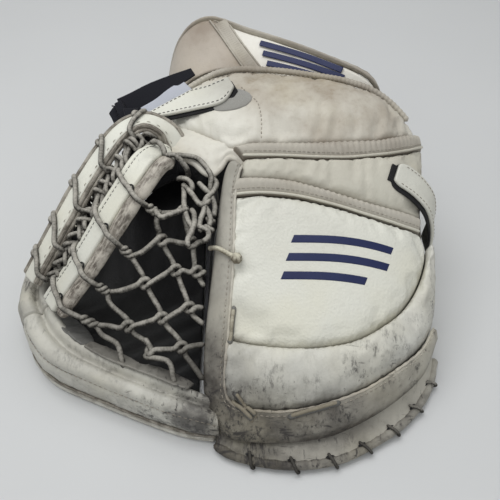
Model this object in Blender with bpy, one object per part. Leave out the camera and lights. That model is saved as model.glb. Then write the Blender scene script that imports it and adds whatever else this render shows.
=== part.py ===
"""Ice hockey goalie catch glove, left hand, lying palm down on its rim.

Millimetres in the design values, metres in Blender. +X is towards the little finger, +Y from the
fingertips to the cuff, +Z up from the surface that the rim rests on. The back of the glove is one
dome, and each layer of it is a slab that follows that dome between two outlines seen from above.
"""

import math

import bmesh
import bpy
from mathutils import Matrix, Vector

MM = 0.001
GAP = 0.5                 # clearance that every piece keeps from its outline
PAD = 15.0                # foam and leather of the back panels
PLATE = 2.2               # plastic stiffeners
FOAM = 9.0                # palm foam
LEATHER = 2.5             # palm and pocket leather
RIM_HEIGHT = 38.0         # pocket rim above the ground
LACE = 4.8                # pocket lace
FOLD_X = -60.0            # the glove closes about a line parallel to Y, here
FOLD_Z = 75.0
FLAP_Y = 36.0             # the back flap lifts about a line parallel to X, here
FLAP_Z = 142.0
ORIGIN = (-18.5, 11.9, 0)  # the middle of the footprint

# Height of the dome's spine, and of the palm under it, at places along Y.
SPINE = [(-190, 4), (-165, 16), (-128, 40), (-97, 63), (-45, 94), (0, 120), (28, 138),
         (66, 150), (120, 155), (170, 152), (230, 140)]
PALM = [(-140, 2), (-100, 16), (-60, 31), (-20, 53), (20, 74), (60, 80), (100, 66), (125, 46)]
# Height of the thumb side's dome, at places along X.
THUMB_FOAM = 6.0
THUMB = [(-190, 14), (-172, 30), (-150, 54), (-120, 80), (-90, 98), (-60, 108)]

# Outlines seen from above: each is a few points that a smooth curve runs through.
PANEL_TOP = [(-15, 1), (10, 2), (35, 0), (62, -5), (91, -10), (117, -11), (136, -9)]
PANEL_FOOT = [(-19, -93), (0, -97), (24, -99), (50, -99), (77, -94), (99, -83), (116, -69),
              (130, -50), (139, -30), (141, -18)]
ROLL_FOOT = [(-19, -130), (0, -135), (29, -136), (58, -131), (84, -122), (107, -109), (129, -91),
             (143, -71), (149, -45), (150, -14)]
BINDING_INNER = [(-11, 14), (-17.5, 0), (-19.5, -50), (-22, -95), (-21, -129), (0, -136.5),
                 (29, -137.5), (58, -132.5), (84, -123.5), (108, -110), (130.5, -92), (144, -72)]
BINDING_OUTER = [(-23, 22), (-28, 0), (-31, -50), (-34, -95), (-31, -128), (-14, -150),
                 (14, -154), (50, -151), (80, -141), (110, -124), (136, -101), (151, -72)]
GUSSET_TOP = [(-25, -144), (-14, -150.5), (14, -154.5), (50, -151.5), (80, -141.5),
              (110, -124.5), (136, -101.5), (151, -73)]
GUSSET_FOOT = [(-27, -152), (-8, -162), (28, -168), (64, -164), (94, -150), (120, -132),
               (141, -106), (152, -78)]
SEAM_LOWER_TOP = [(-10, 12), (9, 12), (32, 10), (56, 5), (80, 0), (105, -2), (138, 1)]
SEAM_UPPER_FOOT = [(-6, 27), (21, 27), (56, 26), (81, 28), (107, 36), (128, 48), (146, 64)]
SEAM_UPPER_TOP = [(-14, 34), (3, 37), (27, 37), (57, 38), (94, 44), (115, 54), (142, 74)]
FLAP_CREST = [(-72, 98), (-56, 110), (-39, 117), (-26, 121), (0, 121), (27, 118), (54, 112),
              (81, 108), (104, 104), (120, 97), (138, 82)]
FLAP_FOOT = [(-62, 70), (-50, 60), (-38, 52), (-26, 43), (-14, 35), (3, 38), (27, 38), (57, 39),
             (94, 45), (115, 55), (142, 75)]


def smooth(points, count, closed=False):
    """Evenly spaced points along a smooth curve through the given ones: count of them round a
    closed curve, or count + 1 along an open one."""
    pts = [Vector(p) for p in points]
    if closed:
        ends = pts[-1:] + pts + pts[:2]
    else:
        ends = [2 * pts[0] - pts[1]] + pts + [2 * pts[-1] - pts[-2]]
    fine = []
    steps = 16
    for a, b, c, d in zip(ends, ends[1:], ends[2:], ends[3:]):
        for k in range(steps):
            t = k / steps
            fine.append(0.5 * ((2 * b) + (c - a) * t + (2 * a - 5 * b + 4 * c - d) * t * t
                               + (3 * b - a - 3 * c + d) * t ** 3))
    fine.append(pts[0] if closed else pts[-1])
    run = [0.0]
    for a, b in zip(fine, fine[1:]):
        run.append(run[-1] + (b - a).length)
    found, j = [], 0
    for k in range(count if closed else count + 1):
        want = run[-1] * k / count
        while j < len(run) - 2 and run[j + 1] < want:
            j += 1
        share = (want - run[j]) / max(run[j + 1] - run[j], 1e-9)
        found.append(fine[j].lerp(fine[j + 1], min(1.0, share)))
    return found


def profile(knots, at):
    """A smooth height through the knots, straight beyond the ends."""
    if at <= knots[0][0]:
        return knots[0][1]
    if at >= knots[-1][0]:
        return knots[-1][1]
    k = max(i for i, knot in enumerate(knots[:-1]) if knot[0] <= at)
    (x0, z0), (x1, z1) = knots[k], knots[k + 1]

    def slope(i):
        low, high = knots[max(i - 1, 0)], knots[min(i + 1, len(knots) - 1)]
        return (high[1] - low[1]) / (high[0] - low[0])

    h = x1 - x0
    t = (at - x0) / h
    return ((2 * t ** 3 - 3 * t * t + 1) * z0 + (t ** 3 - 2 * t * t + t) * h * slope(k)
            + (3 * t * t - 2 * t ** 3) * z1 + (t ** 3 - t * t) * h * slope(k + 1))


def dome(x, y):
    """Height of the finger side's and the hand's outer surface."""
    right = 38 * (max(0.0, x - 30) / 120) ** 3
    left = 45 * (max(0.0, -x) / 100) ** 2
    return profile(SPINE, y) - right - left


def palm(x, y):
    """Height of the catching surface on the finger side."""
    right = 34 * (max(0.0, x - 30) / 110) ** 2
    left = 8 * (max(0.0, -x) / 45) ** 2
    return max(2.5, profile(PALM, y) - right - left)


def thumb_dome(x, t):
    """Height of the thumb side's outer surface, with t from its front edge to its back one."""
    return profile(THUMB, x) - 10 * (2 * t - 1) ** 2


def pillow(s, t, power=4):
    """1 in the middle of a patch and 0 round its border."""
    return (1 - abs(2 * s - 1) ** power) * (1 - abs(2 * t - 1) ** power)


def material(name, colour, roughness, metallic=0.0):
    made = bpy.data.materials.new(name)
    made.use_nodes = True
    shader = made.node_tree.nodes["Principled BSDF"]
    shader.inputs["Base Color"].default_value = (*colour, 1)
    shader.inputs["Roughness"].default_value = roughness
    shader.inputs["Metallic"].default_value = metallic
    return made


def body_of(name, mesh, look):
    """Links a closed bmesh as one object, with its faces turned outwards."""
    bmesh.ops.remove_doubles(mesh, verts=mesh.verts, dist=1e-6)
    bmesh.ops.recalc_face_normals(mesh, faces=mesh.faces)
    data = bpy.data.meshes.new(name)
    mesh.to_mesh(data)
    mesh.free()
    data.shade_smooth()
    data.set_sharp_from_angle(angle=math.radians(40))
    obj = bpy.data.objects.new(name, data)
    bpy.context.scene.collection.objects.link(obj)
    data.materials.append(look)
    return obj


def loft(name, rings, look, closed=False):
    """A solid through rings of equal length, capped at both ends unless it closes on itself."""
    mesh = bmesh.new()
    made = [[mesh.verts.new(Vector(p) * MM) for p in ring] for ring in rings]
    pairs = list(zip(made, made[1:] + made[:1] if closed else made[1:]))
    for a, b in pairs:
        for k in range(len(a)):
            n = (k + 1) % len(a)
            mesh.faces.new((a[k], a[n], b[n], b[k]))
    if not closed:
        mesh.faces.new(made[0])
        mesh.faces.new(made[-1])
    return body_of(name, mesh, look)


def slab(name, foot, top, cols, rows, upper, lower, look):
    """A slab between two outlines seen from above. upper and lower give its heights at
    (x, y, s, t), with s along the outlines and t from foot to top."""
    low, high = smooth(foot, cols), smooth(top, cols)
    grid = []
    for j in range(rows + 1):
        t = j / rows
        grid.append([a.lerp(b, t) for a, b in zip(low, high)])
    for row in grid:
        row[0] = row[0] + (row[1] - row[0]).normalized() * GAP
        row[-1] = row[-1] + (row[-2] - row[-1]).normalized() * GAP
    for k in range(cols + 1):
        first, last = grid[0][k], grid[-1][k]
        across = (last - first).normalized() * GAP
        grid[0][k] = first + across
        grid[-1][k] = last - across
    mesh = bmesh.new()
    faces = []
    for height in (upper, lower):
        faces.append([[mesh.verts.new((p.x * MM, p.y * MM, MM * height(p.x, p.y, k / cols, j / rows)))
                       for k, p in enumerate(row)] for j, row in enumerate(grid)])
    for sheet in faces:
        for j in range(rows):
            for k in range(cols):
                mesh.faces.new((sheet[j][k], sheet[j][k + 1], sheet[j + 1][k + 1], sheet[j + 1][k]))
    up, down = faces
    border = ([(0, k) for k in range(cols)] + [(j, cols) for j in range(rows)]
              + [(rows, k) for k in range(cols, 0, -1)] + [(j, 0) for j in range(rows, 0, -1)])
    for (j, k), (m, n) in zip(border, border[1:] + border[:1]):
        mesh.faces.new((up[j][k], up[m][n], down[m][n], down[j][k]))
    return body_of(name, mesh, look)


def frames(line, up, up_end=None):
    """(point, sideways, upwards) at each point of a line. Upwards stays close to up, which may
    change to up_end along the line."""
    found = []
    for k, p in enumerate(line):
        ahead = (line[min(k + 1, len(line) - 1)] - line[max(k - 1, 0)]).normalized()
        wanted = Vector(up).lerp(Vector(up_end or up), k / (len(line) - 1))
        side = ahead.cross(wanted).normalized()
        found.append((p, side, side.cross(ahead).normalized()))
    return found


def ribbon(name, points, count, section, look, up=(0, 0, 1), up_end=None):
    """A section of (sideways, upwards) points swept along a smooth curve."""
    rings = []
    for p, side, high in frames(smooth(points, count), up, up_end):
        rings.append([p + side * a + high * b for a, b in section])
    return loft(name, rings, look)


def tube(name, points, count, radius, look, sides=6, up=(0, 0, 1)):
    """A round cord or piping along a smooth curve."""
    ring = [(radius * math.cos(2 * math.pi * k / sides), radius * math.sin(2 * math.pi * k / sides))
            for k in range(sides)]
    return ribbon(name, points, count, ring, look, up)


def oval_band(width, height):
    """The section of a strap or band, with eased edges."""
    a, b, e = width / 2, height / 2, min(width, height) * 0.3
    return [(-a, -b + e), (-a + e, -b), (a - e, -b), (a, -b + e),
            (a, b - e), (a - e, b), (-a + e, b), (-a, b - e)]


def finger_back(looks):
    """The panel over the backs of the fingers, its raised roll, seams, binding and gusset."""
    white, worn, plastic = looks["leather"], looks["worn"], looks["plastic"]
    slab("finger_back_panel", PANEL_FOOT, PANEL_TOP, 18, 6,
         lambda x, y, s, t: dome(x, y) + 3 * pillow(s, t) - 3,
         lambda x, y, s, t: dome(x, y) - PAD, white)
    slab("finger_edge_roll", ROLL_FOOT, PANEL_FOOT, 18, 5,
         lambda x, y, s, t: dome(x, y) + 7 * math.sin(math.pi * t) - 2,
         lambda x, y, s, t: max(10.5, dome(x, y) - PAD - 8 * t), white)
    slab("finger_stiffener", [(-14, -88), (40, -93), (90, -80), (128, -44)],
         [(-8, -6), (40, -6), (90, -16), (128, -20)], 8, 5,
         lambda x, y, s, t: dome(x, y) - PAD - GAP,
         lambda x, y, s, t: dome(x, y) - PAD - GAP - PLATE, plastic)
    slab("panel_seam_welt", PANEL_TOP, SEAM_LOWER_TOP, 14, 2,
         lambda x, y, s, t: dome(x, y) - 1.5 + 3 * math.sin(math.pi * t),
         lambda x, y, s, t: dome(x, y) - 9, worn)
    slab("knuckle_strip", SEAM_LOWER_TOP, SEAM_UPPER_FOOT, 14, 4,
         lambda x, y, s, t: dome(x, y) - 4 + 3 * pillow(s, t),
         lambda x, y, s, t: dome(x, y) - PAD - 3, worn)
    slab("knuckle_seam_welt", SEAM_UPPER_FOOT, SEAM_UPPER_TOP, 14, 2,
         lambda x, y, s, t: dome(x, y) - 1.5 + 3 * math.sin(math.pi * t),
         lambda x, y, s, t: dome(x, y) - 9, worn)
    slab("edge_binding", BINDING_OUTER, BINDING_INNER, 26, 2,
         lambda x, y, s, t: dome(x, y) - 6 * (1 - t) ** 2 - 1.5,
         lambda x, y, s, t: max(14, dome(x, y) - 12), worn)
    slab("finger_gusset", GUSSET_FOOT, GUSSET_TOP, 16, 3,
         lambda x, y, s, t: 9 + (max(13.5, dome(x, y) - 12.5) - 9) * t ** 1.2 * min(1, (1 - s) * 9 + .3)
         - 1.5,
         lambda x, y, s, t: 0.0, worn)


def finger_inside(looks):
    """What the fingers are held in, and the catching surface under them."""
    leather, foam, lining = looks["leather"], looks["foam"], looks["lining"]
    front = [(-12, -104), (40, -110), (88, -94), (124, -60)]
    back = [(-36, 118), (20, 122), (70, 118), (112, 100)]
    slab("palm_leather", front, back, 10, 14,
         lambda x, y, s, t: palm(x, y) + LEATHER,
         lambda x, y, s, t: palm(x, y), leather)
    slab("palm_foam", front, back, 10, 14,
         lambda x, y, s, t: palm(x, y) + LEATHER + GAP + FOAM,
         lambda x, y, s, t: palm(x, y) + LEATHER + GAP, foam)
    slab("index_wall", [(-34, -116), (-35, -60), (-33, 0), (-29, 16)],
         [(-31, -116), (-32, -60), (-30, 0), (-26, 16)], 14, 1,
         lambda x, y, s, t: dome(x, y) - 16, lambda x, y, s, t: palm(x, y) + 2, lining)
    for label, x, y in (("index", 8, -50), ("middle", 36, -56), ("ring", 64, -52), ("little", 91, -40)):
        low = palm(x, y) + LEATHER + GAP + FOAM
        high = dome(x, y) - PAD - PLATE - GAP
        loop(f"finger_loop_{label}", (x, y, (low + high) / 2), (0, 1, 0.6), 26, high - low - 9, 24, lining)


def loop(name, centre, along, width, height, length, look):
    """A strip of lining sewn into a loop round one finger or the thumb."""
    wall = 1.3
    along = Vector(along).normalized()
    side = along.cross(Vector((0, 0, 1))).normalized()
    up = side.cross(along)
    rings = []
    for shrink, at in ((0, -0.5), (0, 0.5), (wall, 0.5), (wall, -0.5)):
        ring = []
        for k in range(12):
            a = 2 * math.pi * k / 12
            ring.append(Vector(centre) + along * at * length
                        + side * (width / 2 - shrink) * math.cos(a)
                        + up * (height / 2 - shrink) * math.sin(a))
        rings.append(ring)
    loft(name, rings, look, closed=True)


def hand_back(looks):
    """The padded flap over the back of the hand, its binding, lining and loop patch."""
    worn, lining = looks["worn"], looks["lining"]
    slab("back_flap_pad", FLAP_FOOT, FLAP_CREST, 18, 7,
         lambda x, y, s, t: dome(x, y) - 5 + 5 * pillow(s, t, 3),
         lambda x, y, s, t: dome(x, y) - PAD - 2, worn)
    slab("back_flap_lining", [(-48, 66), (-12, 42), (40, 42), (96, 50), (118, 62)],
         [(-58, 98), (-24, 112), (28, 112), (80, 102), (116, 92)], 10, 4,
         lambda x, y, s, t: dome(x, y) - PAD - 2 - GAP,
         lambda x, y, s, t: dome(x, y) - PAD - 4 - GAP, lining)
    crest = [(x, y + 2.8, dome(x, y) - 4.0) for x, y in FLAP_CREST[1:-1]]
    tube("back_flap_binding", crest, 20, 2.4, worn)


def cuff(looks):
    """The gauntlet round the wrist: outer shell, stiffener, lining and edge binding."""
    near = [(112, 112, 40), (117, 109, 84), (106, 113, 122), (60, 122, 137), (0, 130, 144),
            (-36, 130, 143), (-64, 124, 124), (-76, 122, 84), (-72, 126, 40), (-50, 134, 14),
            (20, 138, 10), (88, 132, 14)]
    far = [(116, 132, 42), (121, 126, 92), (108, 121, 138), (60, 146, 152), (0, 170, 161),
           (-40, 184, 165), (-66, 172, 148), (-80, 168, 96), (-78, 168, 44), (-54, 172, 16),
           (20, 172, 8), (92, 158, 12)]
    first, last = smooth(near, 28, True), smooth(far, 28, True)
    inward = []
    for k in range(28):
        along = first[(k + 1) % 28] - first[k - 1] + last[(k + 1) % 28] - last[k - 1]
        inward.append(along.cross(last[k] - first[k]).normalized())
    if inward[0].x > 0:
        inward = [-v for v in inward]
    layers = [("cuff_shell", 0.0, 8.0, looks["leather"]),
              ("cuff_stiffener", 9.0, 10.8, looks["plastic"]),
              ("cuff_lining", 11.8, 14.4, looks["lining"])]
    steps = 4
    for name, outside, inside, look in layers:
        rings = []
        for a, b, v in zip(first, last, inward):
            wall = [a.lerp(b, k / steps) for k in range(steps + 1)]
            rings.append([p + v * outside for p in wall] + [p + v * inside for p in wall[::-1]])
        loft(name, rings, look, closed=True)
    rings = []
    for a, b, v in zip(first, last, inward):
        out = (b - a).normalized()
        middle = b + out * 3.2 + v * 7
        rings.append([middle + v * 7.0 * math.cos(t) + out * 2.4 * math.sin(t)
                      for t in [math.pi * n / 4 for n in range(8)]])
    loft("cuff_binding", rings, looks["worn"], closed=True)


OUTER_BAND = [(-58, 46, 128), (-66, 54, 138), (-78, 57, 145), (-90, 56, 146), (-103, 47, 143),
              (-116, 34, 133), (-131, 16, 118), (-149, -6, 96), (-164, -22, 76), (-177, -34, 58)]
INNER_BAND = [(-62, 27, 130), (-69, 25, 138), (-77, 15, 140), (-88, 0, 132), (-103, -15, 116),
              (-117, -28, 98), (-133, -41, 78), (-147, -51, 62)]
NET_FROM = [(-50, 22, 126), (-58, 10, 130), (-72, -8, 121), (-88, -26, 103), (-104, -42, 85),
            (-120, -55, 66), (-132, -66, 50)]
NET_TO = [(-29, 18, 118), (-31, 0, 106), (-35, -25, 91), (-38, -50, 76), (-39, -76, 62),
          (-38, -100, 49), (-36, -120, 42)]


def t_trap(looks):
    """The T of two arched bands between finger and thumb, with its foot on the rim."""
    ribbon("outer_band", OUTER_BAND, 20, oval_band(17, 6), looks["leather"])
    strip, roll = [], []
    for p, side, up in frames(smooth(INNER_BAND, 18), (0, 0, 1)):
        strip.append(p + side * 4)
        roll.append(p - side * 11 - up * 2)
    ribbon("inner_band", strip, 18, oval_band(17, 6), looks["leather"])
    tube("inner_band_roll", roll[1:], 16, 5.2, looks["worn"], 8)
    slab("t_foot", [(-190, -2), (-192, -22), (-190, -44), (-183, -60)],
         [(-166, -6), (-167, -24), (-164, -40), (-158, -50)], 6, 3,
         lambda x, y, s, t: 42 + 5 * t - 8 * (2 * t - 1) ** 2,
         lambda x, y, s, t: 0.0, looks["leather"])


def lacing(looks):
    """The cord wound round the outer band."""
    corners = [(-10, 7), (10, 7), (13.5, 0), (10, -7), (-10, -7), (-13.5, 0)]
    line = frames(smooth(OUTER_BAND, 54), (0, 0, 1))
    path = []
    for k, (p, side, up) in enumerate(line[4:47]):
        a, b = corners[k % 6]
        path.append(p + side * a + up * b)
    tube("band_lacing", path, 84, LACE / 2, looks["lace"], 5, (0.3, 0.5, 0.8))
    knot = bmesh.new()
    bmesh.ops.create_icosphere(knot, subdivisions=2, radius=4.5 * MM)
    bmesh.ops.translate(knot, verts=knot.verts, vec=Vector((-10, -46, dome(-10, -46) + 5)) * MM)
    body_of("tie_knot", knot, looks["lace"])


def nets(looks):
    """The pocket net, drawn as diamonds of cord between the T and the finger side."""
    left, right = smooth(NET_FROM, 10), smooth(NET_TO, 10)
    net("pocket_net", left, right, 7, looks["lace"])
    left = smooth([(-76, 70, 122), (-94, 68, 120), (-122, 50, 102), (-150, 24, 76), (-170, 4, 54)], 8)
    right = smooth([(-80, 70, 104), (-100, 64, 94), (-124, 48, 74), (-146, 26, 54), (-158, 8, 44)], 8)
    net("thumb_net", left, right, 3, looks["lace"])


def net(name, left, right, across, look):
    mesh = bmesh.new()
    rows = []
    for a, b in zip(left, right):
        rows.append([mesh.verts.new(a.lerp(b, k / across) * MM) for k in range(across + 1)])
    for j in range(len(rows) - 1):
        for k in range(across):
            a, b, c, d = rows[j][k], rows[j][k + 1], rows[j + 1][k + 1], rows[j + 1][k]
            if (j + k) % 2:
                mesh.faces.new((a, b, c))
                mesh.faces.new((a, c, d))
            else:
                mesh.faces.new((a, b, d))
                mesh.faces.new((b, c, d))
    obj = body_of(name, mesh, look)
    wire = obj.modifiers.new("cords", "WIREFRAME")
    wire.thickness = 3.4 * MM
    wire.use_boundary = True
    wire.use_replace = True


THUMB_FOOT = [(-67, 80), (-86, 73), (-104, 66), (-126, 52), (-146, 30), (-158, 12)]
THUMB_TOP = [(-67, 113), (-86, 118), (-108, 120), (-126, 108), (-144, 80), (-158, 46)]
THUMB_RIM_OUT = [(-189, 2), (-187, 30), (-177, 62), (-163, 94), (-145, 122), (-116, 146)]
THUMB_RIM_IN = [(-168, 3), (-169, 24), (-163, 50), (-150, 82), (-133, 108), (-108, 130)]


def thumb_side(looks):
    """The thumb's panel, stall and palm, with their part of the rim."""
    slab("thumb_back_panel", THUMB_FOOT, THUMB_TOP, 12, 5,
         lambda x, y, s, t: thumb_dome(x, t) - 4 + 4 * pillow(s, t),
         lambda x, y, s, t: thumb_dome(x, t) - 13, looks["leather"])
    foot = [(-90, 80), (-108, 74), (-130, 60), (-148, 38)]
    top = [(-90, 113), (-108, 113), (-128, 98), (-148, 66)]
    slab("thumb_stiffener", foot, top, 8, 4,
         lambda x, y, s, t: thumb_dome(x, 0.15 + 0.7 * t) - 15,
         lambda x, y, s, t: thumb_dome(x, 0.15 + 0.7 * t) - 15 - PLATE, looks["plastic"])
    foot = [(x, y + 4) for x, y in THUMB_FOOT]
    top = [(x, y - 4) for x, y in THUMB_TOP]
    slab("thumb_palm_leather", foot, top, 10, 5,
         lambda x, y, s, t: thumb_palm(x) + LEATHER,
         lambda x, y, s, t: thumb_palm(x), looks["leather"])
    slab("thumb_palm_foam", foot, top, 10, 5,
         lambda x, y, s, t: thumb_palm(x) + LEATHER + GAP + THUMB_FOAM,
         lambda x, y, s, t: thumb_palm(x) + LEATHER + GAP, looks["foam"])
    loop("thumb_loop", (-100, 94, 65), (-1, 0, -0.6), 27, 11, 18, looks["lining"])
    slab("thumb_rim", THUMB_RIM_OUT, THUMB_RIM_IN, 14, 3,
         lambda x, y, s, t: 24 + 10 * t - 6 * (2 * t - 1) ** 2,
         lambda x, y, s, t: 0.0, looks["leather"])


def thumb_palm(x):
    """Height of the catching surface on the thumb side."""
    return max(6.0, profile(THUMB, x) - 46)


def web(looks):
    """The leather that joins the two halves at the root of the thumb."""
    slab("web_leather", [(-63, 86), (-50, 68), (-38, 48)], [(-63, 111), (-50, 113), (-39, 112)], 6, 5,
         lambda x, y, s, t: (1 - s) * thumb_palm(-66) + s * palm(-36, y) + LEATHER,
         lambda x, y, s, t: (1 - s) * thumb_palm(-66) + s * palm(-36, y), looks["leather"])
    slab("crotch_leather", [(-50, 37), (-42, 31), (-32, 25)], [(-49, 56), (-40, 50), (-28, 42)], 6, 3,
         lambda x, y, s, t: dome(x, y) - 3 - 8 * (1 - t) ** 2,
         lambda x, y, s, t: dome(x, y) - 14, looks["worn"])


def rims(looks):
    """The padded rim on the ground, apart from the gusset under the fingers."""
    slab("pocket_rim", [(-182.5, -62), (-172, -80), (-153, -98), (-118, -114), (-77, -131), (-29, -150)],
         [(-157, -51), (-148, -64), (-130, -80), (-102, -96), (-70, -109), (-37, -124)], 18, 3,
         lambda x, y, s, t: 30 + 8 * (1 - s) ** 3 + 8 * t - 8 * (2 * t - 1) ** 2,
         lambda x, y, s, t: 0.0, looks["leather"])
    slab("heel_rim", [(-56, 111), (20, 111), (80, 108), (116, 94)],
         [(-54, 127), (20, 130), (80, 126), (122, 106)], 12, 3,
         lambda x, y, s, t: 26 - 8 * (2 * t - 1) ** 2,
         lambda x, y, s, t: 0.0, looks["leather"])
    slab("little_finger_wall", [(148, -64), (149, -40), (148, 0), (145, 50), (134, 92)],
         [(141, -62), (143, -40), (143, 0), (140, 45), (127, 84)], 14, 4,
         lambda x, y, s, t: 9 + (dome(x, y) - 34) * t ** 0.6,
         lambda x, y, s, t: 0.0, looks["worn"])


def straps(looks):
    """Wrist strap and finger strap, each a webbing with a leather tab that peels off."""
    ribbon("wrist_strap", [(-50, 119, 149), (-62, 113, 146), (-80, 104, 140), (-97, 96, 133),
                           (-108, 91, 129)], 12, oval_band(24, 2), looks["webbing"], (0, -0.5, 1))
    ribbon("wrist_strap_tab", [(-104, 82, 135), (-84, 84, 138.5), (-64, 83, 144), (-46, 81, 150),
                               (-29, 81, 155), (-14, 87, 160)], 14, oval_band(24, 3),
           looks["leather"], (0, -0.2, 1))
    ribbon("finger_strap_tab", [(109, 20, 127), (122, 18, 120), (135, 15, 110.5), (146, 11, 97),
                                (151.3, 8, 77), (151.8, 7, 54)], 16, oval_band(24, 3),
           looks["leather"], (0.1, -0.6, 1), (1, 0, 0.1))
    disc = []
    for k in range(12):
        a = 2 * math.pi * k / 12
        disc.append((-16 + 17 * math.cos(a), 76 + 12 * math.sin(a)))
    rings = [[(x, y, dome(x, y) + lift) for x, y in disc] for lift in (0.6, 2.0)]
    loft("loop_patch", rings, looks["webbing"])


# Each joint: the place of its axis, then the pieces that turn about it.
HINGES = {
    "pocket_fold": ((FOLD_X, 0, FOLD_Z),
                    ("outer_band", "inner_band", "inner_band_roll", "t_foot", "band_lacing")),
    "thumb_fold": ((FOLD_X, 0, FOLD_Z),
                   ("thumb_back_panel", "thumb_stiffener", "thumb_palm_leather", "thumb_palm_foam",
                    "thumb_loop", "thumb_rim", "thumb_net")),
    "flap_lift": ((0, FLAP_Y, FLAP_Z),
                  ("back_flap_pad", "back_flap_lining", "back_flap_binding", "loop_patch",
                   "wrist_strap")),
    "wrist_tab_peel": ((-106, 82, 135), ("wrist_strap_tab",)),
    "finger_tab_peel": ((152, 7, 54), ("finger_strap_tab",)),
    "cuff_flex": ((20, 132, 12), ("cuff_shell", "cuff_stiffener", "cuff_lining", "cuff_binding")),
}


def place_origins():
    """Moves the origin to under the middle of the glove, and hangs each moving piece on an empty
    that stands on its joint's axis."""
    shift = Vector(ORIGIN) * -MM
    for obj in bpy.data.objects:
        obj.data.transform(Matrix.Translation(shift))
    for name, (place, pieces) in HINGES.items():
        pivot = bpy.data.objects.new(name, None)
        pivot.empty_display_size = 0.02
        pivot.location = Vector(place) * MM + shift
        bpy.context.scene.collection.objects.link(pivot)
        for piece in pieces:
            obj = bpy.data.objects[piece]
            obj.parent = pivot
            obj.matrix_parent_inverse = Matrix.Translation(-pivot.location)


def main():
    for obj in list(bpy.data.objects):
        bpy.data.objects.remove(obj)
    looks = {
        "leather": material("white leather", (0.80, 0.79, 0.72), 0.45),
        "worn": material("worn leather", (0.62, 0.58, 0.50), 0.55),
        "plastic": material("stiffener", (0.10, 0.10, 0.11), 0.4),
        "foam": material("foam", (0.30, 0.30, 0.32), 0.9),
        "lining": material("lining", (0.12, 0.12, 0.13), 0.85),
        "lace": material("lace", (0.36, 0.34, 0.30), 0.7),
        "webbing": material("webbing", (0.015, 0.015, 0.017), 0.8),
    }
    finger_back(looks)
    finger_inside(looks)
    hand_back(looks)
    cuff(looks)
    t_trap(looks)
    lacing(looks)
    web(looks)
    nets(looks)
    thumb_side(looks)
    rims(looks)
    straps(looks)
    place_origins()


main()
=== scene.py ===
"""Looks of an ice hockey goalie catch glove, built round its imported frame.

Design values are millimetres in the glove's own plan, as in the CAD source: +X towards the little
finger, +Y from the fingertips to the cuff, +Z up. build() moves them to the frame, in metres. The
back of the glove is one dome, and its covers follow that dome between outlines seen from above.
"""

import math

import bmesh
import bpy
import numpy as np
from mathutils.bvhtree import BVHTree
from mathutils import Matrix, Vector, noise


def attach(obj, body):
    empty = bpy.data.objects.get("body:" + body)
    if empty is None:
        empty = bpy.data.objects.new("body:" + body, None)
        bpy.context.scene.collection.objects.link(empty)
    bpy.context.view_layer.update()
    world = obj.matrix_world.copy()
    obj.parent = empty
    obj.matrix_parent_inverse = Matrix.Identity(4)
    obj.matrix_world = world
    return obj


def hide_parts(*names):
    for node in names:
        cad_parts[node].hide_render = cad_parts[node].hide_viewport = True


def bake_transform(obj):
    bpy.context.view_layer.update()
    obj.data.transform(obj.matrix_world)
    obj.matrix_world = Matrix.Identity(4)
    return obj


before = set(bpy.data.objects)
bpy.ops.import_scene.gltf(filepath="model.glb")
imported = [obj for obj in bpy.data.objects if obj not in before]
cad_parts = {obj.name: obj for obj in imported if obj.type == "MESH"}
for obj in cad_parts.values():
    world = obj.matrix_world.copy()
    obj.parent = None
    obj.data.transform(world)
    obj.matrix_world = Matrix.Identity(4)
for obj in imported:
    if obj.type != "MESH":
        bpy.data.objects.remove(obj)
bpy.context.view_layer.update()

MM = 0.001
ORIGIN = np.array((-18.5, 11.9, 0.0))   # the frame's origin in design values
GAP = 0.5                               # clearance between neighbouring covers
PAD = 15.0                              # foam and leather of the back panels
LEATHER = 2.5
LACE = 2.15                             # radius of the pocket lace
THREAD = 0.5                            # radius of the sewing thread
ABOVE_ALL = 400.0                       # higher than every piece
CLOTH_FRAMES = 16                       # how long the cloth settles

CAMERA_AIM = (0, 0, 55)
CAMERA_AWAY = 530
CAMERA_RISE = math.radians(48)
CAMERA_LENS = 45

SPINE = [(-190, 4), (-165, 16), (-128, 40), (-97, 63), (-45, 94), (0, 120), (28, 138),
         (66, 150), (120, 155), (170, 152), (230, 140)]
PALM = [(-140, 2), (-100, 16), (-60, 31), (-20, 53), (20, 74), (60, 80), (100, 66), (125, 46)]
THUMB = [(-190, 14), (-172, 30), (-150, 54), (-120, 80), (-90, 98), (-60, 108)]

PANEL_TOP = [(-15, 1), (10, 2), (35, 0), (62, -5), (91, -10), (117, -11), (136, -9)]
PANEL_FOOT = [(-19, -93), (0, -97), (24, -99), (50, -99), (77, -94), (99, -83), (116, -69),
              (130, -50), (139, -30), (141, -18)]
ROLL_FOOT = [(-19, -130), (0, -135), (29, -136), (58, -131), (84, -122), (107, -109), (129, -91),
             (143, -71), (149, -45), (150, -14)]
BINDING_INNER = [(-5, 18), (-10, 0), (-11, -50), (-14, -92), (-16, -127), (0, -135),
                 (29, -136), (58, -131), (84, -122), (108, -108.5), (130.5, -91), (144, -71)]
BINDING_OUTER = [(-17, 26), (-23, 10), (-29, -40), (-35, -95), (-33, -128), (-17, -149),
                 (14, -154), (50, -151), (80, -141), (110, -124), (136, -101), (151, -72)]
GUSSET_TOP = [(-24, -138), (-14, -144), (14, -148), (48, -145), (77, -135.5),
              (106, -119), (131, -97), (146, -71)]
GUSSET_FOOT = [(-27, -152), (-8, -162), (28, -168), (64, -164), (94, -150), (120, -132),
               (141, -106), (152, -78)]
SEAM_LOWER_TOP = [(-10, 12), (9, 12), (32, 10), (56, 5), (80, 0), (105, -2), (138, 1)]
SEAM_UPPER_FOOT = [(-6, 27), (21, 27), (56, 26), (81, 28), (107, 36), (128, 48), (146, 64)]
SEAM_UPPER_TOP = [(-14, 34), (3, 37), (27, 37), (57, 38), (94, 44), (115, 54), (142, 74)]
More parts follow.
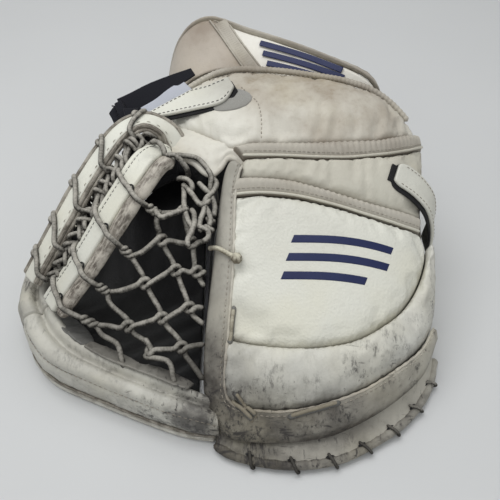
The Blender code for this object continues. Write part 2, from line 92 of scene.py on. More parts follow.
FLAP_CREST = [(-72, 98), (-56, 110), (-39, 117), (-26, 121), (0, 121), (27, 118), (54, 112),
              (81, 108), (104, 104), (120, 97), (138, 82)]
FLAP_FOOT = [(-62, 70), (-50, 60), (-38, 52), (-26, 43), (-14, 35), (3, 38), (27, 38), (57, 39),
             (94, 45), (115, 55), (142, 75)]
CUFF_NEAR = [(112, 112, 40), (117, 109, 84), (106, 113, 122), (60, 122, 137), (0, 130, 144),
             (-36, 130, 143), (-64, 124, 124), (-76, 122, 84), (-72, 126, 40), (-50, 134, 14),
             (20, 138, 10), (88, 132, 14)]
CUFF_FAR = [(116, 132, 42), (121, 126, 92), (108, 121, 138), (60, 146, 152), (0, 170, 161),
            (-40, 184, 165), (-66, 172, 148), (-80, 168, 96), (-78, 168, 44), (-54, 172, 16),
            (20, 172, 8), (92, 158, 12)]
OUTER_BAND = [(-58, 46, 128), (-66, 54, 138), (-78, 57, 145), (-90, 56, 146), (-103, 47, 143),
              (-116, 34, 133), (-131, 16, 118), (-149, -6, 96), (-164, -22, 76), (-177, -34, 58)]
INNER_BAND = [(-62, 27, 130), (-69, 25, 138), (-77, 15, 140), (-88, 0, 132), (-103, -15, 116),
              (-117, -28, 98), (-133, -41, 78), (-147, -51, 62), (-156, -58, 51)]
NET_FROM = [(-50, 22, 126), (-58, 10, 130), (-72, -8, 121), (-88, -26, 103), (-104, -42, 85),
            (-120, -55, 66), (-132, -66, 50)]
NET_TO = [(-29, 18, 118), (-31, 0, 106), (-35, -25, 91), (-38, -50, 76), (-39, -76, 62),
          (-38, -100, 49), (-36, -120, 42)]
THUMB_FOOT = [(-67, 80), (-86, 73), (-104, 66), (-126, 52), (-146, 30), (-158, 12)]
THUMB_TOP = [(-67, 113), (-86, 118), (-108, 120), (-126, 108), (-144, 80), (-158, 46)]
THUMB_RIM_OUT = [(-189, 2), (-187, 30), (-177, 62), (-163, 94), (-145, 122), (-116, 146)]
THUMB_RIM_IN = [(-168, 3), (-169, 24), (-163, 50), (-150, 82), (-133, 108), (-108, 130)]
RIM_OUT = [(-182.5, -62), (-172, -80), (-153, -98), (-118, -114), (-77, -131), (-48, -141), (-23, -145)]
RIM_IN = [(-157, -51), (-148, -64), (-130, -80), (-102, -96), (-70, -109), (-46, -119), (-26, -124)]

# Soft patches of grime and of black scuffs: centre, radius and strength. The grime patch at (-112, -56, 12)
# also paints light onto the dark web sheet low in the pocket.
GRIME_AND_PAINTED_LIGHT = [((12, 112, 155), 44, 0.95), ((58, 100, 150), 50, 1.0), ((106, 72, 130), 38, 0.6),
         ((-20, 104, 152), 26, 0.45), ((60, 40, 140), 26, 0.3), ((-30, -104, 52), 26, 0.8),
         ((-28, -60, 80), 22, 0.35), ((0, -155, 22), 40, 0.9), ((-22, -150, 10), 26, 0.9),
         ((80, -140, 30), 40, 0.6), ((-48, 178, 160), 26, 0.8), ((-60, 40, 138), 20, 0.3),
         ((-120, -110, 18), 60, 0.35), ((-182, -30, 30), 40, 0.35), ((40, 8, 122), 60, 0.35),
         # (-112, -56, 12): painted light, a lighter patch on the dark web sheet
         ((146, 20, 90), 40, 0.3), ((-112, -56, 12), 50, 0.7), ((-28, -130, 36), 30, 0.7),
         ((18, -154, 32), 34, 0.7), ((62, -149, 30), 30, 0.45)]
SCUFFS = [((-24, -148, 14), 32, 1.2), ((-4, -160, 8), 32, 1.2), ((30, -160, 12), 30, 0.8),
          ((80, -146, 14), 34, 0.7), ((130, -110, 20), 34, 0.6), ((104, -104, 66), 22, 0.5),
          ((62, -124, 50), 20, 0.4), ((20, -122, 52), 16, 0.35), ((140, -70, 50), 22, 0.6),
          ((142, -55, 57), 14, 0.6), ((108, -110, 43), 16, 0.5), ((68, -31, 101), 5, 0.6),
          ((-60, -132, 12), 26, 0.8), ((-100, -122, 14), 26, 0.55), ((-150, -104, 14), 30, 0.5),
          ((-184, -46, 24), 26, 0.6), ((-30, -100, 54), 24, 0.8), ((-32, -128, 30), 24, 1.0),
          ((-50, -136, 20), 22, 0.8), ((10, -150, 28), 24, 0.7), ((50, -148, 26), 24, 0.7),
          ((78, -108, 58), 16, 0.4), ((-74, 16, 142), 12, 0.8), ((-26, -130, 40), 14, 0.8),
          ((-182, -14, 40), 16, 0.6), ((112, -58, 92), 9, 0.45), ((-126, -50, 70), 26, 0.3)]


# ---------------------------------------------------------------- curves and surfaces

def to_frame(points):
    """Design points, in millimetres, as points of the frame, in metres."""
    return (np.array(points, float) - ORIGIN) * MM


def trace(points, closed=False):
    """A fine line along a smooth curve through the points, and the distance run at each of its ends."""
    pts = np.array(points, float)
    if closed:
        ends = np.vstack([pts[-1:], pts, pts[:2]])
    else:
        ends = np.vstack([2 * pts[:1] - pts[1:2], pts, 2 * pts[-1:] - pts[-2:-1]])
    t = np.linspace(0, 1, 16, endpoint=False)[:, None]
    fine = []
    for a, b, c, d in zip(ends, ends[1:], ends[2:], ends[3:]):
        fine.append(0.5 * ((2 * b) + (c - a) * t + (2 * a - 5 * b + 4 * c - d) * t * t
                           + (3 * b - a - 3 * c + d) * t ** 3))
    fine = np.vstack(fine + [pts[:1] if closed else pts[-1:]])
    run = np.concatenate([[0], np.cumsum(np.linalg.norm(np.diff(fine, axis=0), axis=1))])
    return fine, run


def length_of(points, closed=False):
    return trace(points, closed)[1][-1]


def along(points, shares, closed=False):
    """The points at shares of the length of a smooth curve through the given points. A whole number
    of shares means that many, evenly from one end to the other."""
    fine, run = trace(points, closed)
    if isinstance(shares, int):
        shares = np.linspace(0, 1, shares)
    want = np.asarray(shares, float) * run[-1]
    return np.stack([np.interp(want, run, fine[:, i]) for i in range(fine.shape[1])], axis=-1)


def between(first, second, share):
    """An outline at a share of the way from one outline to another."""
    return np.array(first, float) * (1 - share) + np.array(second, float) * share


def shifted(points, x=0.0, y=0.0):
    """An outline moved in plan."""
    return [(a + x, b + y) for a, b in points]


def shares_of(length, edge, step):
    """Shares of a length: close together within edge of both ends, about step apart between."""
    near = edge * (1 - np.cos(np.linspace(0, math.pi / 2, 5)))
    count = max(2, round((length - 2 * edge) / step))
    middle = np.linspace(edge, length - edge, count + 1)[1:-1]
    return np.concatenate([near, middle, length - near[::-1]]) / length


def profile(knots, at):
    """A smooth height through the knots, level beyond the ends."""
    xs, zs = np.array(knots, float).T
    low = np.maximum(np.arange(len(xs)) - 1, 0)
    high = np.minimum(np.arange(len(xs)) + 1, len(xs) - 1)
    slope = (zs[high] - zs[low]) / (xs[high] - xs[low])
    at = np.clip(at, xs[0], xs[-1])
    k = np.clip(np.searchsorted(xs, at, side="right") - 1, 0, len(xs) - 2)
    h = xs[k + 1] - xs[k]
    t = (at - xs[k]) / h
    return ((2 * t ** 3 - 3 * t * t + 1) * zs[k] + (t ** 3 - 2 * t * t + t) * h * slope[k]
            + (3 * t * t - 2 * t ** 3) * zs[k + 1] + (t ** 3 - t * t) * h * slope[k + 1])


def dome(x, y):
    """Height of the finger side's and the hand's outer surface."""
    right = 38 * (np.maximum(0.0, x - 30) / 120) ** 3
    left = 45 * (np.maximum(0.0, -x) / 100) ** 2
    return profile(SPINE, y) - right - left


def palm(x, y):
    """Height of the catching surface on the finger side."""
    right = 34 * (np.maximum(0.0, x - 30) / 110) ** 2
    left = 8 * (np.maximum(0.0, -x) / 45) ** 2
    return np.maximum(2.5, profile(PALM, y) - right - left)


def thumb_dome(x, t):
    """Height of the thumb side's outer surface, with t from its front edge to its back one."""
    return profile(THUMB, x) - 10 * (2 * t - 1) ** 2


def thumb_palm(x):
    """Height of the catching surface on the thumb side."""
    return np.maximum(6.0, profile(THUMB, x) - 46)


def pillow(s, t, power=4):
    """1 in the middle of a patch and 0 round its border."""
    return (1 - np.abs(2 * s - 1) ** power) * (1 - np.abs(2 * t - 1) ** power)


def bell(x, centre, width):
    return np.exp(-((x - centre) / width) ** 2)


def ripple(x, y, across=1, lengthwise=1, turn=0.0, seed=0.0):
    """Smooth noise from -1 to 1 over a plan, across and lengthwise millimetres to a wave, turned."""
    c, s = math.cos(turn), math.sin(turn)
    u = (np.ravel(x) * c + np.ravel(y) * s) / across
    v = (np.ravel(y) * c - np.ravel(x) * s) / lengthwise
    found = [noise.noise((a, b, seed)) for a, b in zip(u, v)]
    return np.array(found).reshape(np.shape(x))


def unit(v):
    return v / np.maximum(np.linalg.norm(v, axis=-1, keepdims=True), 1e-9)


def axes(path, up=(0, 0, 1)):
    """Ahead, sideways and upwards at each point of a path, upwards staying close to up."""
    ahead = unit(np.gradient(path, axis=0))
    side = unit(np.cross(ahead, np.asarray(up, float)))
    return ahead, side, np.cross(side, ahead)


def carried(path):
    """Two directions across a path at each point, carried along it without twisting."""
    ahead = unit(np.gradient(path, axis=0))
    start = np.cross(ahead[0], (0.31, 0.52, 0.8))
    first = [start / np.linalg.norm(start)]
    for direction in ahead[1:]:
        moved = first[-1] - direction * (first[-1] @ direction)
        first.append(moved / np.linalg.norm(moved))
    first = np.array(first)
    return first, np.cross(ahead, first)


def blobs(points, table):
    """How far soft patches cover each point, from 0 to 1."""
    clear = np.ones(len(points))
    for centre, radius, strength in table:
        away = np.linalg.norm(points - np.array(centre, float), axis=1)
        clear *= 1 - strength * np.exp(-(away / radius) ** 2)
    return 1 - clear


# ---------------------------------------------------------------- making pieces

def settle(piece, held, most):
    """Stuffs a piece by cloth simulation: pressure swells it and slack cloth puckers towards the
    seams, where it is held. No point moves over most millimetres."""
    mesh = piece.data
    start = np.array([v.co for v in mesh.vertices])
    group = piece.vertex_groups.new(name="held")
    weights = np.clip(held / 0.3, 0, 1)
    for k in np.nonzero(weights > 0.02)[0]:
        group.add([int(k)], float(weights[k]), "REPLACE")
    cloth = piece.modifiers.new("cloth", "CLOTH")
    cloth.settings.vertex_group_mass = "held"
    cloth.settings.quality = 4
    cloth.settings.mass = 0.3
    cloth.settings.tension_stiffness = 12
    cloth.settings.compression_stiffness = 12
    cloth.settings.bending_stiffness = 0.3
    cloth.settings.shrink_min = -0.045
    cloth.settings.shrink_max = -0.045
    cloth.settings.use_pressure = True
    cloth.settings.uniform_pressure_force = 3.0
    cloth.settings.effector_weights.gravity = 0
    cloth.point_cache.frame_start = 1
    cloth.point_cache.frame_end = CLOTH_FRAMES
    scene = bpy.context.scene
    for number in range(1, CLOTH_FRAMES + 1):
        scene.frame_set(number)
    settled = piece.evaluated_get(bpy.context.evaluated_depsgraph_get())
    found = np.array([v.co for v in settled.data.vertices])
    piece.modifiers.remove(cloth)
    scene.frame_set(1)
    moved = found - start
    far = np.linalg.norm(moved, axis=1, keepdims=True)
    moved = moved * np.minimum(1, most * MM / np.maximum(far, 1e-9))
    mesh.vertices.foreach_set("co", (start + moved).ravel())
    piece.vertex_groups.remove(group)
    mesh.update()


def build(name, parts, look, body, replaces=(), grime=0.0, scuff=0.0, settled=0):
    """One piece from parts of (points, faces, seam), with seam how much of the look's second colour is added
    at each point, or the run and turn of a cord. It rides on the body; given a pair of bodies instead, it is
    left in place unattached. It stands for the CAD nodes it replaces. settled is how far its cloth may swell,
    in millimetres."""
    points, faces, extra, start = [], [], [], 0
    for part_points, part_faces, part_extra in parts:
        points.append(part_points)
        faces.extend([tuple(k + start for k in face) for face in part_faces])
        extra.append(part_extra)
        start += len(part_points)
    points = np.vstack(points)
    mesh = bpy.data.meshes.new(name)
    mesh.from_pydata(to_frame(points).tolist(), [], faces)
    turned = bmesh.new()
    turned.from_mesh(mesh)
    bmesh.ops.recalc_face_normals(turned, faces=turned.faces)
    turned.to_mesh(mesh)
    turned.free()
    mesh.shade_smooth()
    normals = np.zeros(3 * len(points), np.float32)
    mesh.vertices.foreach_get("normal", normals)
    dirt = np.full(len(points), grime) + blobs(points, GRIME_AND_PAINTED_LIGHT)
    if extra[0].ndim == 2:
        way = mesh.attributes.new("way", "FLOAT_VECTOR", "POINT")
        way.data.foreach_set("vector", np.vstack(extra).astype(np.float32).ravel())
    else:
        dirt = dirt + np.concatenate(extra)
    for label, values in (("grime", dirt), ("scuff", blobs(points, SCUFFS) + scuff)):
        attribute = mesh.attributes.new(label, "FLOAT", "POINT")
        attribute.data.foreach_set("value", np.clip(values, 0, 1.2).astype(np.float32))
    # sky: the normal's upward share, used by the lace and thread looks to paint their upper sides lighter and
    # their undersides darker
    sky = mesh.attributes.new("sky", "FLOAT", "POINT")
    sky.data.foreach_set("value", np.ascontiguousarray(normals[2::3]))
    piece = bpy.data.objects.new(name, mesh)
    bpy.context.scene.collection.objects.link(piece)
    mesh.materials.append(LOOKS[look])
    if settled:
        settle(piece, np.concatenate(extra), settled)
    if isinstance(body, str):
        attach(piece, body)
    else:
        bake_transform(piece)
    if replaces:
        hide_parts(*replaces)
    return piece


def grid_faces(rows, cols, start=0, closed=False):
    """Faces of a grid of rows by cols points, round in its columns where closed."""
    faces = []
    for j in range(rows - 1):
        for k in range(cols if closed else cols - 1):
            n = (k + 1) % cols
            faces.append((start + j * cols + k, start + j * cols + n,
                          start + (j + 1) * cols + n, start + (j + 1) * cols + k))
    return faces


def tube_faces(rings, sides, looped=False):
    """Faces of a tube of rings by sides points, capped at its ends or looped back to its start."""
    faces = grid_faces(rings, sides, closed=True)
    last = (rings - 1) * sides
    if looped:
        return faces + [(last + k, last + (k + 1) % sides, (k + 1) % sides, k) for k in range(sides)]
    return faces + [tuple(range(sides)), tuple(range(last, last + sides))]


def grid_shell(rows, cols):
    """Faces of a closed slab whose upper grid of rows by cols points is followed by its lower one."""
    total = rows * cols
    faces = grid_faces(rows, cols) + grid_faces(rows, cols, total)
    border = ([(0, k) for k in range(cols - 1)] + [(j, cols - 1) for j in range(rows - 1)]
              + [(rows - 1, k) for k in range(cols - 1, 0, -1)] + [(j, 0) for j in range(rows - 1, 0, -1)])
    for (j, k), (m, n) in zip(border, border[1:] + border[:1]):
        a, b = j * cols + k, m * cols + n
        faces.append((a, b, b + total, a + total))
    return faces


def pad(foot, top, upper, lower, edge=4.0, step=3.0, depth=1.0):
    """A padded panel between two outlines seen from above, with its upper face rounded down at the
    border over edge millimetres. upper and lower give heights at (x, y, s, t)."""
    middle = (along(foot, 30) + along(top, 30)) / 2
    long = length_of(middle)
    width = np.linalg.norm(along(foot, 30) - along(top, 30), axis=1)
    edge = min(edge, width.mean() / 2.2)
    s, t = shares_of(long, edge, step), shares_of(width.mean(), edge, step)
    inset = GAP / long + s * (1 - 2 * GAP / long)
    low, high = along(foot, inset), along(top, inset)
    across = np.maximum(np.linalg.norm(high - low, axis=1), 1.0)
    share = GAP / across + t[:, None] * (1 - 2 * GAP / across)
    plan = low + (high - low) * share[..., None]
    x, y = plan[..., 0], plan[..., 1]
    s, t = np.broadcast_to(s, x.shape), np.broadcast_to(t[:, None], x.shape)
    a = np.clip(1 - np.minimum(s, 1 - s) * long / edge, 0, 1)
    b = np.clip(1 - np.minimum(t, 1 - t) * across / edge, 0, 1)
    near = np.sqrt(np.minimum(1, a * a + b * b))
    under = lower(x, y, s, t)
    over = upper(x, y, s, t) - depth * edge * (1 - np.sqrt(1 - near * near))
    over = np.maximum(over, under + 0.4)
    rows, cols = x.shape
    points = np.vstack([np.stack([x, y, z], axis=-1).reshape(-1, 3) for z in (over, under)])
    faces = grid_shell(rows, cols)
    # seam: rises towards the rounded border, to 0.6 at the edge, and is 0.5 over the lower face
    seam = np.concatenate([0.6 * near.ravel() ** 3, np.full(rows * cols, 0.5)])
    return points, faces, seam


def tube(path, radius, sides=10, flat=1.0, up=None, closed=False):
    """A cord or piping along a path, with rounded ends. The third value is its way: run, and the
    cosine and sine of the turn round it. radius may change along it, flat is height over width."""
    path = np.asarray(path, float)
    if up is None:
        first, second = carried(path)
    else:
        _, first, second = axes(path, up)
    radius = np.broadcast_to(radius, len(path)).astype(float)
    run = np.concatenate([[0], np.cumsum(np.linalg.norm(np.diff(path, axis=0), axis=1))])
    if not closed:
        reach = radius[0] * 1.2
        left = np.minimum(run, run[-1] - run)
        radius = radius * np.sqrt(np.clip(1 - (1 - np.clip(left / reach, 0, 1)) ** 2, 0.02, 1))
    turn = 2 * math.pi * np.arange(sides) / sides
    c, s = np.cos(turn), np.sin(turn)
    r = radius[:, None, None]
    rings = path[:, None] + r * (first[:, None] * c[:, None] + flat * second[:, None] * s[:, None])
    n = len(path)
    way = np.stack(np.broadcast_arrays(run[:, None], c, s), axis=-1)
    return rings.reshape(-1, 3), tube_faces(n, sides, closed), way.reshape(-1, 3)


def cord(points, radius=LACE, step=1.3, sides=10):
    """A lace along a smooth curve through the points."""
    count = max(4, round(length_of(points) / step))
    path = along(points, np.linspace(0, 1, count + 1))
    for _ in range(2):
        path[1:-1] = (path[:-2] + 2 * path[1:-1] + path[2:]) / 4
    return tube(path, radius, sides)


def sweep(path, section, up=(0, 0, 1), seam=0.0):
    """A band of (sideways, upwards) points swept along a path, capped at its ends."""
    _, side, high = axes(path, up)
    section = np.asarray(section, float)
    if section.ndim == 2:
        section = np.broadcast_to(section, (len(path),) + section.shape)
    rings = path[:, None] + side[:, None] * section[..., :1] + high[:, None] * section[..., 1:]
    n, m = len(path), section.shape[1]
    return rings.reshape(-1, 3), tube_faces(n, m), np.full(n * m, seam)


def stitches(path, length=3.4, space=1.8, radius=THREAD, lift=0.25):
    """A row of stitches along a path: short threads that rise from the surface and dip back."""
    path = np.asarray(path, float)
    run = np.concatenate([[0], np.cumsum(np.linalg.norm(np.diff(path, axis=0), axis=1))])
    found, at = [], space
    while at + length < run[-1]:
        want = np.linspace(at, at + length, 6)
        line = np.stack([np.interp(want, run, path[:, i]) for i in range(3)], axis=-1)
        line[:, 2] += lift * np.array([-1.2, 0.6, 1, 1, 0.6, -1.2])
        found.append(tube(line, radius, 6))
        at += length + space
    return found


def top_of(*pieces):
    """A function giving the height of the pieces' upper side at points in plan, in millimetres."""
    corners, faces = [], []
    for piece in pieces:
        faces += [[k + len(corners) for k in face.vertices] for face in piece.data.polygons]
        corners += [vertex.co for vertex in piece.data.vertices]
    tree = BVHTree.FromPolygons(corners, faces)

    def height(x, y):
        found = []
        for a, b in zip(np.ravel(x), np.ravel(y)):
            met = tree.ray_cast(Vector(to_frame((a, b, ABOVE_ALL))), Vector((0, 0, -1)))[0]
            found.append(met.z / MM if met else float(dome(a, b)) - 3)
        return np.array(found).reshape(np.shape(x))

    return height


def over(height, points, lift=0.0, count=120):
    """A path at a lift over a surface, above a smooth curve in plan."""
    plan = along(points, count)
    return np.column_stack([plan, height(plan[:, 0], plan[:, 1]) + lift])


# ---------------------------------------------------------------- materials

def node(tree, kind, inputs=None, **settings):
    """Adds a node, sets it, and links the inputs that are sockets."""
    made = tree.nodes.new(kind)
    for key, value in settings.items():
        setattr(made, key, value)
    for key, value in (inputs or {}).items():
        if isinstance(value, bpy.types.NodeSocket):
            tree.links.new(value, made.inputs[key])
        else:
            made.inputs[key].default_value = value
    return made


def calc(tree, operation, a, b=0.0, clamp=False):
    return node(tree, "ShaderNodeMath", {0: a, 1: b}, operation=operation, use_clamp=clamp).outputs[0]


def times(tree, a, b, clamp=False):
    return calc(tree, "MULTIPLY", a, b, clamp)


def plus(tree, a, b, clamp=False):
    return calc(tree, "ADD", a, b, clamp)


def mix(tree, share, a, b):
    """A colour between two, which are colours or sockets."""
    made = node(tree, "ShaderNodeMix", {0: share}, data_type="RGBA")
    for place, value in ((6, a), (7, b)):
        if isinstance(value, bpy.types.NodeSocket):
            tree.links.new(value, made.inputs[place])
        else:
            made.inputs[place].default_value = (*value, 1)
    return made.outputs[2]


def span(tree, value, low, high, low_out=0.0, high_out=1.0):
    """value mapped smoothly from low..high to low_out..high_out."""
    made = node(tree, "ShaderNodeMapRange", {0: value, 1: low, 2: high, 3: low_out, 4: high_out},
                interpolation_type="SMOOTHSTEP")
    return made.outputs[0]


def clouds(tree, at, scale, detail=3.0, rough=0.55, stretch=(1, 1, 1), turn=(0, 0, 0)):
    """Noise from 0 to 1 with waves of 1/scale metres."""
    if stretch != (1, 1, 1) or turn != (0, 0, 0):
        at = node(tree, "ShaderNodeMapping", {"Vector": at, "Scale": stretch, "Rotation": turn}).outputs[0]
    return node(tree, "ShaderNodeTexNoise", {"Vector": at, "Scale": scale, "Detail": detail,
                                             "Roughness": rough}).outputs[0]


def attribute(tree, name):
    return node(tree, "ShaderNodeAttribute", attribute_name=name, attribute_type="GEOMETRY")


def blank(name, roughness, specular=0.5, sheen=0.0):
    """A new material, its tree, its shader and the object's own coordinates."""
    made = bpy.data.materials.new(name)
    made.use_nodes = True
    tree = made.node_tree
    shader = tree.nodes["Principled BSDF"]
    shader.inputs["Roughness"].default_value = roughness
    shader.inputs["Specular IOR Level"].default_value = specular
    shader.inputs["Sheen Weight"].default_value = sheen
    at = node(tree, "ShaderNodeTexCoord").outputs["Object"]
    return made, tree, shader, at


def relief(tree, shader, heights):
    """Bump from (height socket, strength, depth in metres), each over the last."""
    normal = None
    for height, strength, depth in heights:
        inputs = {"Height": height, "Strength": strength, "Distance": depth}
        if normal is not None:
            inputs["Normal"] = normal
        normal = node(tree, "ShaderNodeBump", inputs).outputs[0]
    tree.links.new(normal, shader.inputs["Normal"])


SCUFF_BLACK = (0.034, 0.031, 0.030)
STREAK_BROWN = (0.05, 0.043, 0.037)


def leather(name, clean, dirty, roughness=0.46, grain=0.5, pebble=760, wet=0.35):
    """Full-grain leather with grime, black scuffs, pebbled grain and fine creases."""
    made, tree, shader, at = blank(name, roughness, wet)
    grime, scuff = attribute(tree, "grime").outputs["Fac"], attribute(tree, "scuff").outputs["Fac"]
    cloud = clouds(tree, at, 26, 6, 0.62)
    fine = clouds(tree, at, 210, 5, 0.65)
    speck = clouds(tree, at, 900, 2)
    soil = times(tree, grime, span(tree, cloud, 0.3, 0.72, 0.62, 1.10))
    soil = plus(tree, soil, times(tree, span(tree, fine, 0.5, 0.8), 0.12), True)
    colour = mix(tree, soil, clean, dirty)
    yellow = tuple(c * k for c, k in zip(clean, (0.97, 0.93, 0.80)))
    colour = mix(tree, times(tree, span(tree, clouds(tree, at, 12, 3), 0.45, 0.7), 0.35), colour, yellow)
    marks = []
    for stretch, turn, scale in (((1, 0.16, 1), (0, 0, 0.5), 330), ((0.2, 1, 0.6), (0.3, 0, 0.9), 260)):
        streak = clouds(tree, at, scale, 4, 0.6, stretch, turn)
        start = calc(tree, "SUBTRACT", 0.745, times(tree, scuff, 0.200))
        above = calc(tree, "SUBTRACT", streak, start)
        marks.append(times(tree, above, 7.0, True))
    mark = calc(tree, "MAXIMUM", *marks)
    patch = span(tree, clouds(tree, at, 42, 5, 0.6), 0.47, 0.62)
    rub = span(tree, clouds(tree, at, 300, 6, 0.72, (1, 0.28, 0.6), (0, 0, 0.35)), 0.46, 0.64, 0.0, 1.0)
    rub = times(tree, times(tree, rub, patch), scuff)
    deep = times(tree, scuff, scuff)
    wash = times(tree, deep, span(tree, clouds(tree, at, 55, 6, 0.62), 0.36, 0.66, 0.04, 0.62))
    mark = calc(tree, "MAXIMUM", mark, plus(tree, wash, rub), True)
    colour = mix(tree, times(tree, mark, 0.90), colour, SCUFF_BLACK)
    tree.links.new(colour, shader.inputs["Base Color"])
    gloss = plus(tree, span(tree, fine, 0.3, 0.7, roughness - 0.07, roughness + 0.07),
                 times(tree, soil, 0.12))
    tree.links.new(gloss, shader.inputs["Roughness"])
    cells = node(tree, "ShaderNodeTexVoronoi", {"Vector": at, "Scale": pebble, "Randomness": 0.9},
                 feature="SMOOTH_F1").outputs[0]
    relief(tree, shader, [(fine, 0.25, 0.0009), (speck, 0.2 * grain, 0.0003), (cells, grain, 0.00032)])
    return made


def streaked(name, clean, dirty, roughness=0.6, worn=0.75):
    """Bound edges and rolls: leather with grey-brown streaks that run along the way of the cord."""
    made, tree, shader, at = blank(name, roughness, 0.3)
    grime = attribute(tree, "grime").outputs["Fac"]
    way = attribute(tree, "way").outputs["Vector"]
    cloud = clouds(tree, at, 75, 5, 0.65)
    stretched = node(tree, "ShaderNodeMapping", {"Vector": way, "Scale": (0.055, 1.3, 1.3)}).outputs[0]
    streak = node(tree, "ShaderNodeTexNoise", {"Vector": stretched, "Scale": 2.4, "Detail": 6.0,
                                               "Roughness": 0.68}).outputs[0]
    soil = plus(tree, times(tree, span(tree, cloud, 0.35, 0.62), worn), grime, True)
    soil = times(tree, soil, span(tree, streak, 0.36, 0.56, 0.25, 1.0), True)
    colour = mix(tree, soil, clean, dirty)
    dark = times(tree, span(tree, streak, 0.56, 0.70), 0.5)
    dark = times(tree, dark, span(tree, clouds(tree, at, 160, 4), 0.42, 0.6))
    colour = mix(tree, dark, colour, STREAK_BROWN)
    tree.links.new(colour, shader.inputs["Base Color"])
    gloss = span(tree, streak, 0.3, 0.7, roughness - 0.12, roughness + 0.1)
    tree.links.new(gloss, shader.inputs["Roughness"])
    relief(tree, shader, [(streak, 0.3, 0.0005), (clouds(tree, at, 1500, 3), 0.3, 0.0002)])
    return made


def braided(name, light, dark, pitch=2.4, roughness=0.72, wax=0.25):
    """Waxed braided lace: plaits round the cord, with dirt in them and pale worn places, and a painted
    highlight on its upper side over painted shade underneath.
    """
    made, tree, shader, at = blank(name, roughness, wax)
    parts = node(tree, "ShaderNodeSeparateXYZ", {0: attribute(tree, "way").outputs["Vector"]}).outputs
    turn = calc(tree, "ARCTAN2", parts[2], parts[1])
    run = times(tree, parts[0], 2 * math.pi / pitch)
    twice = times(tree, turn, 2.0)
    left = calc(tree, "SINE", plus(tree, run, twice))
    right = calc(tree, "SINE", calc(tree, "SUBTRACT", run, twice))
    plait = span(tree, calc(tree, "MAXIMUM", left, right), -0.4, 1.0)
    blotch = clouds(tree, at, 190, 5, 0.7)
    speck = clouds(tree, at, 900, 3, 0.6)
    # painted light and shade: the upward-facing side of the cord is lighter, the underside darker
    painted_top_light = span(tree, attribute(tree, "sky").outputs["Fac"], 0.0, 0.95, 0.0, 0.68)
    top_light_and_wear = plus(tree, painted_top_light, span(tree, plait, 0.0, 1.0, -0.05, 0.09))
    top_light_and_wear = plus(tree, top_light_and_wear, span(tree, blotch, 0.36, 0.64, -0.20, 0.30), True)
    soil = span(tree, attribute(tree, "grime").outputs["Fac"], 0.0, 1.0, 1.0, 0.1)
    top_light_and_wear = times(tree, top_light_and_wear, soil)
    tree.links.new(mix(tree, top_light_and_wear, dark, light), shader.inputs["Base Color"])
    relief(tree, shader, [(plait, 0.22, 0.00018), (speck, 0.4, 0.0002)])
    return made


def woven(name, colour, pale, pitch=0.9, roughness=0.85, sheen=0.3):
    """Close fabric such as webbing, lining or hook tape, its yarns crossing at the pitch in mm."""
    made, tree, shader, at = blank(name, roughness, 0.25, sheen)
    waves = []
    for turn in ((0, 0, 0.35), (0, 0, 0.35 + math.pi / 2)):
        moved = node(tree, "ShaderNodeMapping", {"Vector": at, "Rotation": turn}).outputs[0]
        x = node(tree, "ShaderNodeSeparateXYZ", {0: moved}).outputs[0]
        waves.append(calc(tree, "SINE", times(tree, x, 2 * math.pi / (pitch * MM))))
    yarn = span(tree, times(tree, *waves), -1.0, 1.0)
    fuzz = clouds(tree, at, 1200, 4, 0.7)
    share = times(tree, plus(tree, times(tree, yarn, 0.5), fuzz), 0.6, True)
    tree.links.new(mix(tree, share, colour, pale), shader.inputs["Base Color"])
    relief(tree, shader, [(yarn, 0.5, 0.0004), (fuzz, 0.5, 0.0003)])
    return made


def speckled(name, colour, pale, scale, roughness, depth=0.0004):
    """Foam or moulded plastic: an even colour with a cell or orange-peel surface."""
    made, tree, shader, at = blank(name, roughness, 0.4)
    cells = node(tree, "ShaderNodeTexVoronoi", {"Vector": at, "Scale": scale}).outputs[0]
    cloud = clouds(tree, at, 60, 5)
    tree.links.new(mix(tree, span(tree, cloud, 0.3, 0.7), colour, pale), shader.inputs["Base Color"])
    relief(tree, shader, [(cells, 0.5, depth)])
    return made


